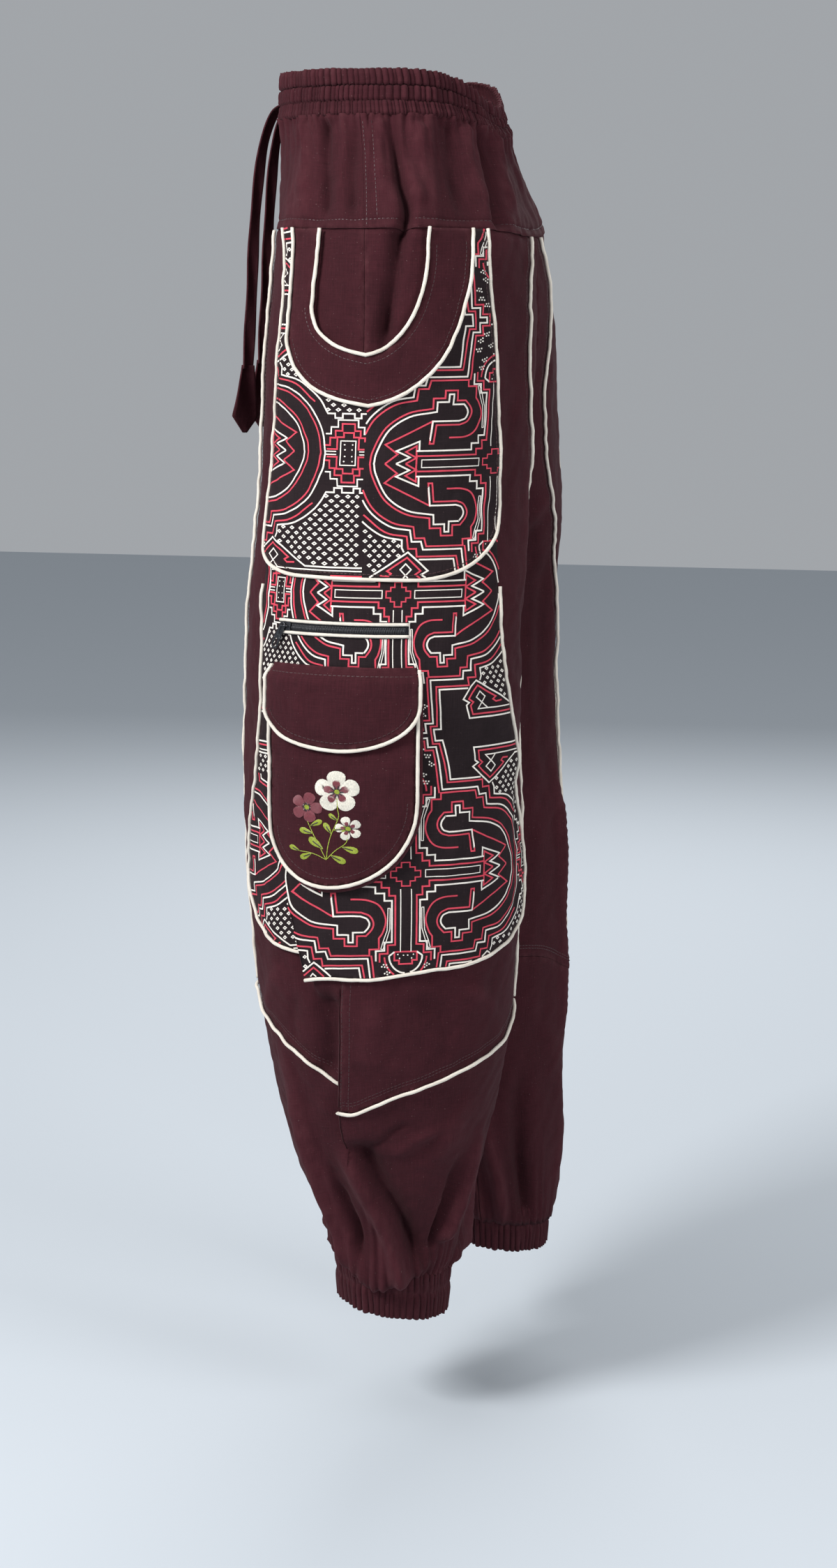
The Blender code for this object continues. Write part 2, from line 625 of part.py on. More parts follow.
def lower_leg(leg):
    """Calf of the leg below the pointed hem, and its elastic cuff: tubes with an open inseam gap."""
    end = 180.0 - math.degrees(0.5 * GAP / GIRTH_SCALE)
    top = hem_edge(-end, end, -0.5 * GAP)
    low = CUFF_TOP + 0.5 * CUFF_GAP
    outline = [flat(-end, low), flat(end, low)] + top[::-1]
    cloth_object("lower_leg_" + leg, "brown_cotton", [(leg, outline)])
    high = CUFF_TOP - 0.5 * CUFF_GAP
    full = 180.0
    outline = [flat(-full, high), flat(-full, CUFF_BOTTOM), flat(full, CUFF_BOTTOM), flat(full, high)]
    cloth_object("cuff_" + leg, "brown_cotton", [(leg, outline)], 0.0, CUFF_THICKNESS)


def side_panel(leg):
    """Printed panel on the outer side of the leg, with piping round its edge."""
    back_column = 2 if leg == "left" else 3
    low = SIDE_PANEL[-1][0]
    front_corner = round_corner((SIDE_PANEL[-1][1], low), SIDE_PANEL_FRONT_FOOT)
    back_start = (SIDE_PANEL[-1][back_column], low - SIDE_PANEL_BACK_DROP)
    back_corner = round_corner(back_start, SIDE_PANEL_BACK_FOOT)
    outline = (table_edge(SIDE_PANEL, 1, SIDE_PANEL[0][0], low) + front_corner[1:]
               + [flat(*SIDE_PANEL_POINT)] + back_corner[::-1]
               + table_edge(SIDE_PANEL, back_column, SIDE_PANEL[0][0], low)[::-1])
    cloth_object("side_panel_" + leg, "printed_cotton", [(leg, outline)], layer_offset(1))
    line = shift_curve(outline, -(PIPING_RADIUS + GAP))
    below = HIP_POCKET_FRONT_FOOT[1] - 0.004
    start = next(i for i, p in enumerate(line) if p[1] < below)
    stop = len(line) - next(i for i, p in enumerate(line[::-1]) if p[1] < below)
    piping("side_panel_piping_" + leg, leg, line[start:stop], piping_height(0))


def hip_pocket(leg):
    """Printed hip pocket with a scooped mouth bound in brown cloth."""
    front_corner = round_corner(HIP_POCKET_FRONT_START, HIP_POCKET_FRONT_FOOT)
    back_corner = round_corner((HIP_POCKET[-1][2], HIP_POCKET[-1][0]), HIP_POCKET_BACK_FOOT)
    top = HIP_POCKET[0][0]
    mouth = trim_top(u_curve(SCOOP_OUTER), top)
    edge = table_edge(HIP_POCKET, 1, top, HIP_POCKET[-1][0]) + front_corner
    edge += back_corner[::-1] + table_edge(HIP_POCKET, 2, top, HIP_POCKET[-1][0])[::-1]
    low_mouth = shift_curve(mouth, -GAP)
    low_mouth[0][1] = low_mouth[-1][1] = top
    cloth_object("hip_pocket_" + leg, "printed_cotton", [(leg, edge + low_mouth[::-1])],
                 layer_offset(2))
    inner = trim_top(u_curve(SCOOP_INNER), top)
    high_mouth = shift_curve(mouth, GAP)
    high_mouth[0][1] = high_mouth[-1][1] = top
    cloth_object("pocket_mouth_" + leg, "brown_cotton", [(leg, high_mouth + inner[::-1])],
                 layer_offset(2))
    piping("hip_pocket_piping_" + leg, leg, shift_curve(edge, -(PIPING_RADIUS + GAP)), piping_height(1))
    piping("mouth_outer_piping_" + leg, leg, mouth, piping_height(2))
    piping("mouth_inner_piping_" + leg, leg, shift_curve(inner, PIPING_RADIUS + GAP), piping_height(1))


def strip(angle_from, angle_to, z_middle, half_height, steps=8):
    """Outline of a level strip on the leg."""
    angles = [angle_from + (angle_to - angle_from) * i / steps for i in range(steps + 1)]
    low = [flat(angle, z_middle - half_height) for angle in angles]
    high = [flat(angle, z_middle + half_height) for angle in angles]
    return low + high[::-1]


def zip_pieces():
    """Zip set level in the left side panel: tape, chain, two piped lips, slider and pull tab."""
    leg = "left"
    cloth_object("zip_tape", "zip_tape", [(leg, strip(ZIP_FRONT, ZIP_BACK, ZIP_Z, ZIP_TAPE_HALF))],
                 layer_offset(2), 0.0008)
    chain_front = SLIDER_ANGLE + 3.2
    cloth_object("zip_chain", "zip_nylon",
                 [(leg, strip(chain_front, ZIP_BACK - 1.0, ZIP_Z, ZIP_CHAIN_HALF))],
                 layer_offset(2) + 0.0008 + GAP, 0.0016)
    for name, rise in (("zip_upper_lip", ZIP_LIP_RISE), ("zip_lower_lip", -ZIP_LIP_RISE)):
        line = [flat(ZIP_FRONT + (ZIP_BACK - ZIP_FRONT) * i / 8, ZIP_Z + rise) for i in range(9)]
        piping(name, leg, line, layer_offset(1) + CLOTH + ZIP_LIP_RADIUS + 0.0006, ZIP_LIP_RADIUS)


def zip_frame():
    """Origin, direction along the zip, direction down and outward direction at the slider."""
    place = flat(SLIDER_ANGLE, ZIP_Z)
    origin = facet_point("left", place, 0.0)
    out = (facet_point("left", place, 0.01) - origin).normalized()
    beyond = facet_point("left", place + Vector((0.01, 0.0)), 0.0)
    along = (beyond - origin)
    along = (along - out * along.dot(out)).normalized()
    along.z = 0.0
    along.normalize()
    down = out.cross(along)
    if down.z > 0.0:
        down = -down
    return origin, along, down.normalized(), out


def box_between(name, centre, axes, size, finish_name, bevel):
    """A small block with rounded edges, its sides along the given axes."""
    bpy.ops.mesh.primitive_cube_add(size=1.0)
    obj = bpy.context.active_object
    obj.name = name
    for owner in list(obj.users_collection):
        owner.objects.unlink(obj)
    for vert in obj.data.vertices:
        spot = sum((axis * (vert.co[i] * size[i]) for i, axis in enumerate(axes)), Vector())
        vert.co = centre + spot
    if axes[0].cross(axes[1]).dot(axes[2]) < 0.0:
        obj.data.flip_normals()
    edge = obj.modifiers.new("edge", "BEVEL")
    edge.width = bevel
    edge.segments = 1
    return finish(obj, finish_name)


def bail_height():
    """Middle of the bail's bar over the base cloth: the tab turns on the post below it."""
    return SLIDER_LIFT + SLIDER_BASE + 2.0 * TAB_CLEARANCE + TAB_THICKNESS + BAIL_RADIUS


def slider():
    """Slider body with its bail, an arch whose front post carries the tab, in one piece."""
    origin, along, down, out = zip_frame()
    base_middle = origin + out * (SLIDER_LIFT + 0.5 * SLIDER_BASE)
    body = box_between("zip_slider", base_middle, (along, down, out),
                       (SLIDER_LENGTH, SLIDER_WIDTH, SLIDER_BASE), "zip_metal", 0.0004)
    high = bail_height()
    low = SLIDER_LIFT + SLIDER_BASE - 0.0004
    path = [(-BAIL_HALF, low), (-BAIL_HALF, high), (BAIL_HALF, high), (BAIL_HALF, low)]
    curve = bpy.data.curves.new("bail", "CURVE")
    curve.dimensions = "3D"
    curve.bevel_depth = BAIL_RADIUS
    curve.bevel_resolution = 1
    curve.use_fill_caps = True
    spline = curve.splines.new("POLY")
    spline.points.add(len(path) - 1)
    for spot, (run, rise) in zip(spline.points, path):
        spot.co = (*(origin + along * run + out * rise), 1.0)
    bail_curve = bpy.data.objects.new("bail_curve", curve)
    garment.objects.link(bail_curve)
    bpy.context.view_layer.update()
    evaluated = bail_curve.evaluated_get(bpy.context.evaluated_depsgraph_get())
    data = bpy.data.meshes.new_from_object(evaluated)
    weld = bmesh.new()
    weld.from_mesh(data)
    bmesh.ops.remove_doubles(weld, verts=weld.verts, dist=0.00001)
    weld.to_mesh(data)
    weld.free()
    bpy.data.objects.remove(bail_curve, do_unlink=True)
    tools = bpy.data.collections.new("cutters")
    bpy.context.scene.collection.children.link(tools)
    bail = bpy.data.objects.new("bail", data)
    bail.hide_render = True
    bail.display_type = "WIRE"
    tools.objects.link(bail)
    union = body.modifiers.new("bail", "BOOLEAN")
    union.operation = "UNION"
    union.object = bail


def pull_tab():
    """Pull tab: a flat tongue with a hole round the bail's front post, where it swings.

    A window near its foot leaves a loop to hold.
    """
    origin, along, down, out = zip_frame()
    pivot = origin - along * BAIL_HALF + out * (SLIDER_LIFT + SLIDER_BASE + TAB_CLEARANCE)
    lean = math.radians(TAB_LEAN)
    length_way = (down * math.cos(lean) - along * math.sin(lean)).normalized()
    width_way = out.cross(length_way).normalized()
    hole_radius = BAIL_RADIUS + TAB_CLEARANCE
    foot_radius = 0.5 * TAB_WIDTH
    foot = TAB_LENGTH - TAB_TOP_RADIUS - foot_radius
    turns = [2.0 * math.pi * (i + 0.5) / 12 for i in range(12)]
    tongue = [(TAB_TOP_RADIUS * math.cos(t), TAB_TOP_RADIUS * math.sin(t)) if math.sin(t) < 0.0
              else (foot_radius * math.cos(t), foot + foot_radius * math.sin(t)) for t in turns]
    hole = [(hole_radius * math.cos(t), hole_radius * math.sin(t)) for t in turns]
    half = TAB_WINDOW_WIDTH * 0.5
    window = [(half * math.cos(t), foot - (TAB_WINDOW_LENGTH - 2.0 * half) * (math.sin(t) < 0.0)
               + half * math.sin(t)) for t in turns]
    places, edges = [], []
    for ring in (tongue, hole, window):
        start = len(places)
        places += [Vector(p) for p in ring]
        edges += [(start + i, start + (i + 1) % len(ring)) for i in range(len(ring))]
    verts, _, faces, *_ = delaunay_2d_cdt(places, edges, [], 0, 1e-6)
    mesh = bmesh.new()
    made = [mesh.verts.new(width_way * v[0] + length_way * v[1]) for v in verts]
    for face in faces:
        middle = sum((verts[i] for i in face), Vector((0.0, 0.0))) / len(face)
        if inside(tongue, middle) and not inside(hole, middle) and not inside(window, middle):
            piece = mesh.faces.new([made[i] for i in face])
            piece.normal_update()
            if piece.normal.dot(out) < 0.0:
                piece.normal_flip()
    data = bpy.data.meshes.new("zip_pull")
    mesh.to_mesh(data)
    mesh.free()
    obj = bpy.data.objects.new("zip_pull", data)
    obj.location = pivot
    plate = obj.modifiers.new("plate", "SOLIDIFY")
    plate.thickness = TAB_THICKNESS
    plate.offset = 1.0
    finish(obj, "zip_metal")


def rounded_pocket(spec, steps=5):
    """Outline of a pocket body or flap: straight sides, one wide rounded foot."""
    top = spec["top"]
    front_low = spec.get("front_low", spec["front"])
    front = [flat(spec["front"], top)] + round_corner((front_low, spec["front_start"]), spec["foot"], steps)
    back = round_corner((spec["back"], spec["back_start"]), spec["foot"], steps)
    return front + back[-2::-1] + [flat(spec["back"], top)]


def cargo_pocket():
    """Bellows pocket low on the left side panel, with its flap."""
    leg = "left"
    outline = rounded_pocket(CARGO)
    outer = shift_curve(outline, -BELLOWS_REACH)
    outer[0][1] = outer[-1][1] = CARGO["top"] - 0.004
    inside_line = shift_curve(outline, BELLOWS_WIDTH - BELLOWS_REACH)
    inside_line[0][1] = inside_line[-1][1] = CARGO["top"] - 0.004
    cloth_object("cargo_bellows", "brown_cotton", [(leg, outer + inside_line[::-1])],
                 layer_offset(2), BELLOWS_THICKNESS)
    body_height = layer_offset(2) + BELLOWS_THICKNESS + 0.0006
    cloth_object("cargo_pocket", "brown_cotton", [(leg, outline)], body_height)
    rim = shift_curve(outline, -(PIPING_RADIUS + GAP))
    rim[0][1] = rim[-1][1] = CARGO["top"] - 0.002
    piping("cargo_piping", leg, rim, body_height + 0.5 * CLOTH + 2.0 * PIPING_CLEARANCE)
    flap_height = body_height + CLOTH + FLAP_CLEARANCE

    def flap_rise(place):
        """The flap is sewn down along its top edge and lies over the pocket below it."""
        share = min(1.0, max(0.0, (FLAP["top"] - place[1]) / FLAP_FALL))
        return layer_offset(2) + (flap_height - layer_offset(2)) * share

    flap = rounded_pocket(FLAP)
    fold = [flat(angle, FLAP["top"] - FLAP_FALL) for angle in (FLAP["front"] - 4.0, FLAP["back"] + 4.0)]
    cloth_object("cargo_flap", "brown_cotton", [(leg, flap)], flap_rise, crease=fold)
    rim = shift_curve(flap, -(PIPING_RADIUS + GAP))
    rim = [Vector((p[0], min(p[1], FLAP["top"] - FLAP_FALL))) for p in rim]
    piping("flap_piping", leg, rim, flap_height + 0.5 * CLOTH + PIPING_CLEARANCE)


def ties():
    """The drawstring's two free ends, from the front of the waistband."""
    for name, path in TIES.items():
        leg = name.split("_")[1]
        place = flat_at(leg, -1, TIE_TOP, TIE_TOP_Z)
        top = facet_point(leg, place, BAND_THICKNESS + 0.5 * TIE_THICKNESS + GAP)
        points = [top] + [Vector(p) for p in path]
        last = (points[-1] - points[-2]).normalized()
        rows = [(p, 0.5 * TIE_WIDTH) for p in points]
        rows.append((points[-1] + last * 0.004, 0.5 * TIE_WIDTH))
        rows.append((points[-1] + last * TIE_FLARE_LENGTH, 0.5 * TIE_FLARE_WIDTH))
        rows.append((points[-1] + last * (TIE_FLARE_LENGTH + TIE_POINT), 0.0012))
        band_way = facet_point(leg, place, 0.0) - facet_point(leg, place - Vector((0.001, 0.0)), 0.0)
        band_way.normalize()
        if leg == "right":
            band_way = -band_way
        mesh = bmesh.new()
        pairs = []
        for i, (p, half) in enumerate(rows):
            width_way = band_way.lerp(Vector(TIE_FACING), min(1.0, 0.5 * i)).normalized()
            pairs.append((mesh.verts.new(p - width_way * half), mesh.verts.new(p + width_way * half)))
        for (a, b), (c, d) in zip(pairs, pairs[1:]):
            mesh.faces.new((a, b, d, c))
        data = bpy.data.meshes.new(name)
        mesh.to_mesh(data)
        mesh.free()
        obj = bpy.data.objects.new(name, data)
        wall = obj.modifiers.new("wall", "SOLIDIFY")
        wall.thickness = TIE_THICKNESS
        wall.offset = 0.0
        finish(obj, "brown_cotton")


waist()
for side_name in ("left", "right"):
    legs(side_name)
    lower_leg(side_name)
    side_panel(side_name)
    hip_pocket(side_name)
zip_pieces()
slider()
pull_tab()
cargo_pocket()
ties()
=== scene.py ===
"""Harem pants in worn form: dark cotton, printed side panels and hip pockets, cream piping,
a level zip and a bellows pocket on the left leg, elastic waist and cuffs.
"""
import itertools
import json
import math

import bpy
import numpy as np
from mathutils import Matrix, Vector
from mathutils.geometry import delaunay_2d_cdt
from mathutils.kdtree import KDTree


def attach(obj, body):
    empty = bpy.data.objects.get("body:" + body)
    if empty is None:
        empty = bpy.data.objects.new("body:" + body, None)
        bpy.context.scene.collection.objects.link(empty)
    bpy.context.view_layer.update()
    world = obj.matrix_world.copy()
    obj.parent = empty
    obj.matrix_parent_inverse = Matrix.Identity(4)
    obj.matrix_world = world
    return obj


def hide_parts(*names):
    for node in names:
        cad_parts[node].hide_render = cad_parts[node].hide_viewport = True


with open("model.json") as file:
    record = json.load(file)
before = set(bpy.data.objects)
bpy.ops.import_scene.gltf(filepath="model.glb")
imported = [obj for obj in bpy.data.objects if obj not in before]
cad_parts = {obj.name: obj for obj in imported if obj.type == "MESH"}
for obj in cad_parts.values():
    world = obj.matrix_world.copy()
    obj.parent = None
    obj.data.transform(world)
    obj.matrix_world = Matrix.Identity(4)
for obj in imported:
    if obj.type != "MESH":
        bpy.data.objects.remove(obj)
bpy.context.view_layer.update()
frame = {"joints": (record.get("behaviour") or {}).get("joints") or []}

# ---- Upper leg panels ------------------------------------------------------------------------
# Each leg is four lengths of dark wine cotton, soft and slightly crumpled, joined by piped seams at
# its front and back, a plain seam down its side and one inside the leg. They hang from the yoke.
# A place on a leg is flat: u is girth from the side seam (front is negative), v is the height.
GIRTH = 0.105             # metres of girth to one radian
CLOTH = 0.0009
LAYER = 0.0020            # step from one sewn-on layer to the next
YOKE_BOTTOM = -0.1245
CUFF_TOP = -0.9880
CUFF_BOTTOM = -1.0260
FULL_TURN = 2.0 * math.pi * GIRTH
LEGS = ("left", "right")
BACK_COLUMN = {"left": 2, "right": 3}      # where a table of seams holds a leg's back angles

# Sections of a leg: its middle (cx, cy), half widths (a, b), the dip of its back, and its tilt.
FORM_COLUMNS = ("z", "cx", "a", "b", "cy_left", "cy_right", "back_dip", "tilt")
LEG_FORM = np.array([
    # z        cx      a       b       cy_left  cy_right back_dip tilt
    (0.0000, 0.0000, 0.1160, 0.0860, -0.0225, -0.0225, 0.026, 0.00),
    (-0.0345, 0.0000, 0.1210, 0.0900, -0.0190, -0.0190, 0.016, 0.00),
    (-0.0800, 0.0030, 0.1360, 0.0960, -0.0120, -0.0120, 0.010, 0.00),
    (-0.1245, 0.0110, 0.1500, 0.1038, -0.0062, -0.0062, 0.006, 0.00),
    (-0.1700, 0.0280, 0.1410, 0.1070, -0.0045, -0.0045, 0.000, 0.00),
    (-0.2200, 0.0420, 0.1320, 0.1092, -0.0040, -0.0040, 0.000, 0.00),
    (-0.2800, 0.0580, 0.1210, 0.1085, -0.0045, -0.0045, 0.000, 0.00),
    (-0.3400, 0.0750, 0.1110, 0.1085, -0.0045, -0.0045, 0.000, 0.00),
    (-0.3700, 0.0865, 0.1040, 0.1098, -0.0040, -0.0055, 0.000, 0.00),
    (-0.4050, 0.0992, 0.0980, 0.1115, -0.0035, -0.0100, 0.000, 0.00),
    (-0.4300, 0.1045, 0.0965, 0.1125, -0.0035, -0.0130, 0.000, 0.00),
    (-0.5000, 0.1085, 0.0980, 0.1132, -0.0040, -0.0165, 0.000, 0.00),
    (-0.5800, 0.1100, 0.0990, 0.1132, -0.0040, -0.0145, 0.000, 0.00),
    (-0.6600, 0.1100, 0.0990, 0.1126, -0.0030, -0.0090, 0.000, 0.00),
    (-0.7400, 0.1085, 0.0970, 0.1070, -0.0030, 0.0000, 0.000, 0.00),
    (-0.8000, 0.1060, 0.0925, 0.0995, -0.0020, 0.0080, 0.000, 0.00),
    (-0.8600, 0.1030, 0.0835, 0.0890, -0.0020, 0.0195, 0.000, 0.00),
    (-0.9100, 0.1010, 0.0715, 0.0745, -0.0010, 0.0330, 0.000, -0.03),
    (-0.9450, 0.0990, 0.0605, 0.0610, 0.0000, 0.0420, 0.000, -0.08),
    (-0.9700, 0.0980, 0.0525, 0.0520, 0.0005, 0.0470, 0.000, -0.14),
    (-0.9880, 0.0980, 0.0470, 0.0465, 0.0000, 0.0495, 0.000, -0.16),
    (-1.0260, 0.0980, 0.0440, 0.0435, 0.0000, 0.0495, 0.000, -0.16),
])[::-1]

# Creases: a soft ridge (height above zero) or trough along a line of (angle, z), lowest point first.
# Widths are its front and back flanks; fades are the shares of its length at the foot and the top.
CREASES = [
    # leg     line                                                     front  back   height   fades
    ("both", [(22, -.150), (14, -.050)], .017, .017, .0035, (.5, .5)),
    ("both", [(58, -.170), (66, -.050)], .018, .018, .0040, (.5, .5)),
    ("both", [(-46, -.160), (-34, -.050)], .018, .018, .0030, (.5, .5)),
    ("both", [(122, -.640), (118, -.250)], .028, .028, -.0070, (.5, .5)),
    ("both", [(-118, -.700), (-112, -.290)], .028, .028, -.0060, (.5, .5)),
    # yoke, left side: the deep fold beside the side seam and its neighbours
    ("left", [(17.2, -.130), (19.2, -.108), (17, -.085), (15.8, -.060), (16.5, -.040)],
     .0060, .0034, -.0078, (.05, .45)),
    ("left", [(24.5, -.112), (22, -.090), (19, -.066)], .0060, .0075, .0030, (.3, .5)),
    ("left", [(9, -.100), (8, -.070), (10, -.036)], .0055, .0035, .0026, (.5, .1)),
    ("left", [(-5, -.124), (-6, -.090), (-4, -.042)], .007, .0045, -.0026, (.3, .3)),
    ("left", [(33, -.118), (28, -.080), (29, -.040)], .010, .007, .0022, (.5, .1)),
    ("left", [(45, -.126), (41, -.085), (43, -.036)], .006, .008, -.0026, (.4, .1)),
    ("left", [(55, -.110), (52, -.070), (53, -.036)], .007, .006, .0024, (.5, .1)),
    ("left", [(59, -.130), (60, -.100), (61, -.080), (62, -.055), (61, -.036)],
     .0045, .009, -.0052, (.15, .1)),
    ("left", [(76, -.120), (73, -.080), (74, -.036)], .008, .006, .0026, (.4, .1)),
    ("left", [(-19, -.124), (-21, -.080), (-19, -.036)], .0045, .009, -.0034, (.3, .1)),
    ("left", [(-31, -.126), (-33, -.085), (-30, -.036)], .008, .006, .0024, (.4, .1)),
    ("right", [(16, -.126), (20, -.090), (17, -.036)], .006, .010, -.0040, (.3, .1)),
    ("right", [(38, -.110), (36, -.070), (39, -.036)], .008, .006, .0026, (.5, .1)),
    ("right", [(60, -.126), (57, -.080), (59, -.036)], .005, .009, -.0034, (.3, .1)),
    ("right", [(-14, -.120), (-17, -.080), (-15, -.036)], .007, .009, -.0022, (.4, .1)),
    ("right", [(-36, -.126), (-38, -.085), (-35, -.036)], .008, .006, .0026, (.4, .1)),
    # hips and thighs: long slack folds
    ("left", [(8.5, -.232), (9.8, -.205), (12.5, -.170), (14.8, -.145), (17, -.124)], .0080, .0036, -.0078,
     (.30, .05)),
    ("left", [(-58, -.42), (-56, -.30), (-50, -.150)], .010, .012, -.0022, (.4, .3)),
    ("left", [(70, -.43), (72, -.30), (66, -.150)], .010, .014, -.0022, (.4, .3)),
    ("left", [(98, -.46), (95, -.34), (90, -.20)], .012, .010, .0030, (.4, .4)),
    ("left", [(132, -.55), (139, -.40), (134, -.24)], .014, .014, .0045, (.4, .4)),
    ("left", [(150, -.72), (158, -.58), (152, -.42)], .018, .014, -.0045, (.4, .4)),
    ("left", [(-136, -.56), (-143, -.42), (-138, -.27)], .014, .016, .0040, (.4, .4)),
    ("left", [(-158, -.70), (-165, -.56), (-160, -.43)], .014, .018, -.0040, (.4, .4)),
    ("left", [(80, -.70), (86, -.60), (97, -.48)], .010, .016, -.0030, (.4, .4)),
    ("left", [(-72, -.72), (-77, -.60), (-73, -.47)], .012, .010, .0022, (.4, .4)),
    ("right", [(-56, -.40), (-55, -.28), (-50, -.150)], .012, .010, -.0024, (.4, .3)),
    ("right", [(74, -.46), (70, -.32), (64, -.150)], .012, .014, .0026, (.4, .3)),
    ("right", [(100, -.66), (104, -.50), (97, -.34)], .014, .012, -.0035, (.4, .4)),
    ("right", [(128, -.60), (136, -.44), (131, -.28)], .014, .016, .0045, (.4, .4)),
    ("right", [(-128, -.50), (-137, -.38), (-131, -.26)], .015, .013, .0042, (.4, .4)),
    ("right", [(-155, -.68), (-163, -.55), (-157, -.42)], .016, .014, -.0045, (.4, .4)),
    ("right", [(153, -.74), (160, -.60), (154, -.44)], .016, .016, -.0040, (.4, .4)),
    ("right", [(-70, -.74), (-66, -.62), (-74, -.50)], .012, .012, -.0026, (.4, .4)),
    ("right", [(92.5, -.860), (91.5, -.760), (91.0, -.660), (92.0, -.575)], .0055, .0120, .0062, (.3, .25)),
    # crotch: short strain folds that fan out from the fork
    ("left", [(-104, -.345), (-122, -.375), (-140, -.395)], .008, .010, .0028, (.3, .3)),
    ("left", [(104, -.335), (122, -.370), (142, -.395)], .008, .010, .0030, (.3, .3)),
    ("right", [(-100, -.350), (-120, -.378), (-140, -.398)], .008, .010, .0030, (.3, .3)),
    ("right", [(102, -.340), (120, -.372), (142, -.398)], .009, .009, .0028, (.3, .3)),
    # above the knee seam
    ("left", [(-18, -.820), (-15, -.770), (-13, -.715)], .012, .006, -.0055, (.2, .35)),
    ("left", [(3, -.800), (5, -.760), (9, -.725)], .009, .014, .0026, (.3, .4)),
    ("left", [(44, -.780), (36, -.755), (22, -.728)], .007, .011, -.0022, (.4, .4)),
    ("left", [(70, -.765), (60, -.742), (44, -.722)], .009, .008, .0024, (.4, .4)),
    ("left", [(-60, -.775), (-50, -.745), (-36, -.715)], .010, .010, .0030, (.4, .4)),
    ("left", [(-32, -.800), (-36, -.770), (-30, -.735)], .008, .010, -.0024, (.4, .4)),
    ("right", [(20, -.820), (17, -.770), (14, -.710)], .010, .014, -.0050, (.3, .4)),
    ("right", [(-22, -.800), (-19, -.765), (-21, -.725)], .012, .010, .0040, (.3, .4)),
    ("right", [(52, -.790), (46, -.760), (34, -.730)], .010, .010, -.0026, (.4, .4)),
    # calves: broad drapes that run down to the cuffs
    ("left", [(-26, -.984), (-35, -.916), (-43, -.820), (-52, -.765)], .013, .010, .0075, (.1, .5)),
    ("left", [(-33, -.984), (-45, -.925), (-55, -.850)], .009, .012, -.0050, (.2, .5)),
    ("left", [(34, -.975), (18, -.930), (4, -.898), (-8, -.848)], .007, .014, -.0068, (.15, .25)),
    ("left", [(24, -.985), (9, -.945), (-3, -.912), (-14, -.862)], .011, .006, .0062, (.1, .35)),
    ("left", [(-12, -.972), (-18, -.935), (-24, -.898)], .004, .008, -.0036, (.2, .4)),
    ("left", [(-19, -.975), (-25, -.930), (-29, -.880)], .007, .005, .0030, (.2, .4)),
    ("left", [(54, -.960), (66, -.915), (74, -.850)], .010, .012, .0058, (.1, .5)),
    ("left", [(46, -.965), (52, -.925), (58, -.870)], .006, .010, -.0042, (.1, .5)),
    ("left", [(36, -.900), (48, -.855), (60, -.815)], .009, .012, .0022, (.5, .5)),
    ("left", [(12, -.880), (26, -.862), (40, -.848)], .006, .007, .0018, (.4, .4)),
    ("left", [(2, -.872), (14, -.852), (24, -.840)], .005, .007, -.0018, (.4, .4)),
    ("left", [(96, -.975), (102, -.920), (96, -.840)], .012, .014, -.0060, (.1, .5)),
    ("left", [(120, -.980), (128, -.920), (122, -.850)], .012, .012, .0062, (.1, .5)),
    ("left", [(150, -.980), (152, -.920), (146, -.840)], .012, .014, -.0055, (.1, .5)),
    ("left", [(-80, -.980), (-84, -.920), (-88, -.830)], .012, .014, -.0055, (.1, .5)),
    ("left", [(-104, -.980), (-110, -.920), (-106, -.850)], .012, .012, .0058, (.1, .5)),
    ("left", [(-136, -.980), (-142, -.920), (-138, -.840)], .012, .014, -.0050, (.1, .5)),
    ("right", [(-12, -.985), (-22, -.920), (-30, -.815)], .014, .010, .0062, (.1, .5)),
    ("right", [(8, -.980), (20, -.920), (30, -.825)], .010, .014, -.0062, (.1, .5)),
    ("right", [(78, -.980), (94, -.900), (108, -.790)], .014, .018, .0024, (.1, .5)),
    ("right", [(52, -.980), (60, -.930), (58, -.860)], .010, .010, .0046, (.1, .5)),
    ("right", [(-48, -.980), (-58, -.920), (-66, -.840)], .010, .014, -.0052, (.1, .5)),
    ("right", [(-84, -.980), (-92, -.920), (-88, -.840)], .012, .010, .0055, (.1, .5)),
    ("right", [(-120, -.980), (-126, -.920), (-120, -.850)], .012, .014, -.0050, (.1, .5)),
    ("right", [(134, -.980), (140, -.920), (132, -.850)], .012, .014, -.0052, (.1, .5)),
    ("right", [(160, -.980), (165, -.920), (160, -.860)], .012, .012, .0045, (.1, .5)),
]

# Laps: where the slack of a panel folds over itself. The back part lies on the front part.
LAPS = {
    "knee": {"line": [(-10.0, -.890), (-11.3, -.850), (-11.7, -.829), (-9.5, -.780), (-7.4, -.723),
                      (-7.0, -.690)],
             "foot": -.885, "full_foot": -.846, "full_top": -.762, "top": -.7225,
             "rise": .0052, "sink": .0036, "lift": .0080, "drop": .0120, "under": .0080},
    "panel": {"line": [(-19.5, -.750), (-21.4, -.722), (-27.6, -.666), (-33.0, -.630), (-35.0, -.610)],
              "foot": -.748, "full_foot": -.726, "full_top": -.668, "top": -.622,
              "rise": .0052, "sink": .0040, "lift": .0130, "drop": .0075, "under": .0080},
}
# steps of a lap's rolled edge: aside and down
ROLL = ((-.0009, .0004), (-.0012, .0013), (-.0008, .0022), (.0006, .0034), (.004, .0076))

seeded = np.random.default_rng(11)
CRUMPLE = []
for wavelength, amplitude, count in ((.090, .00026, 9), (.036, .00017, 10), (.015, .00010, 12)):
    for _ in range(count):
        way = seeded.normal(size=3) * (1.0, 1.0, 0.55)
        way *= 2.0 * math.pi / (np.linalg.norm(way) * wavelength * seeded.uniform(0.7, 1.4))
        CRUMPLE.append((way, seeded.uniform(0.0, 6.28), amplitude * seeded.uniform(0.6, 1.3)))


def around(angle):
    """Girth from the side seam to an angle in degrees."""
    return np.radians(angle) * GIRTH


def angle_of(u):
    """Angle in degrees of a girth from the side seam."""
    return np.degrees(u / GIRTH)


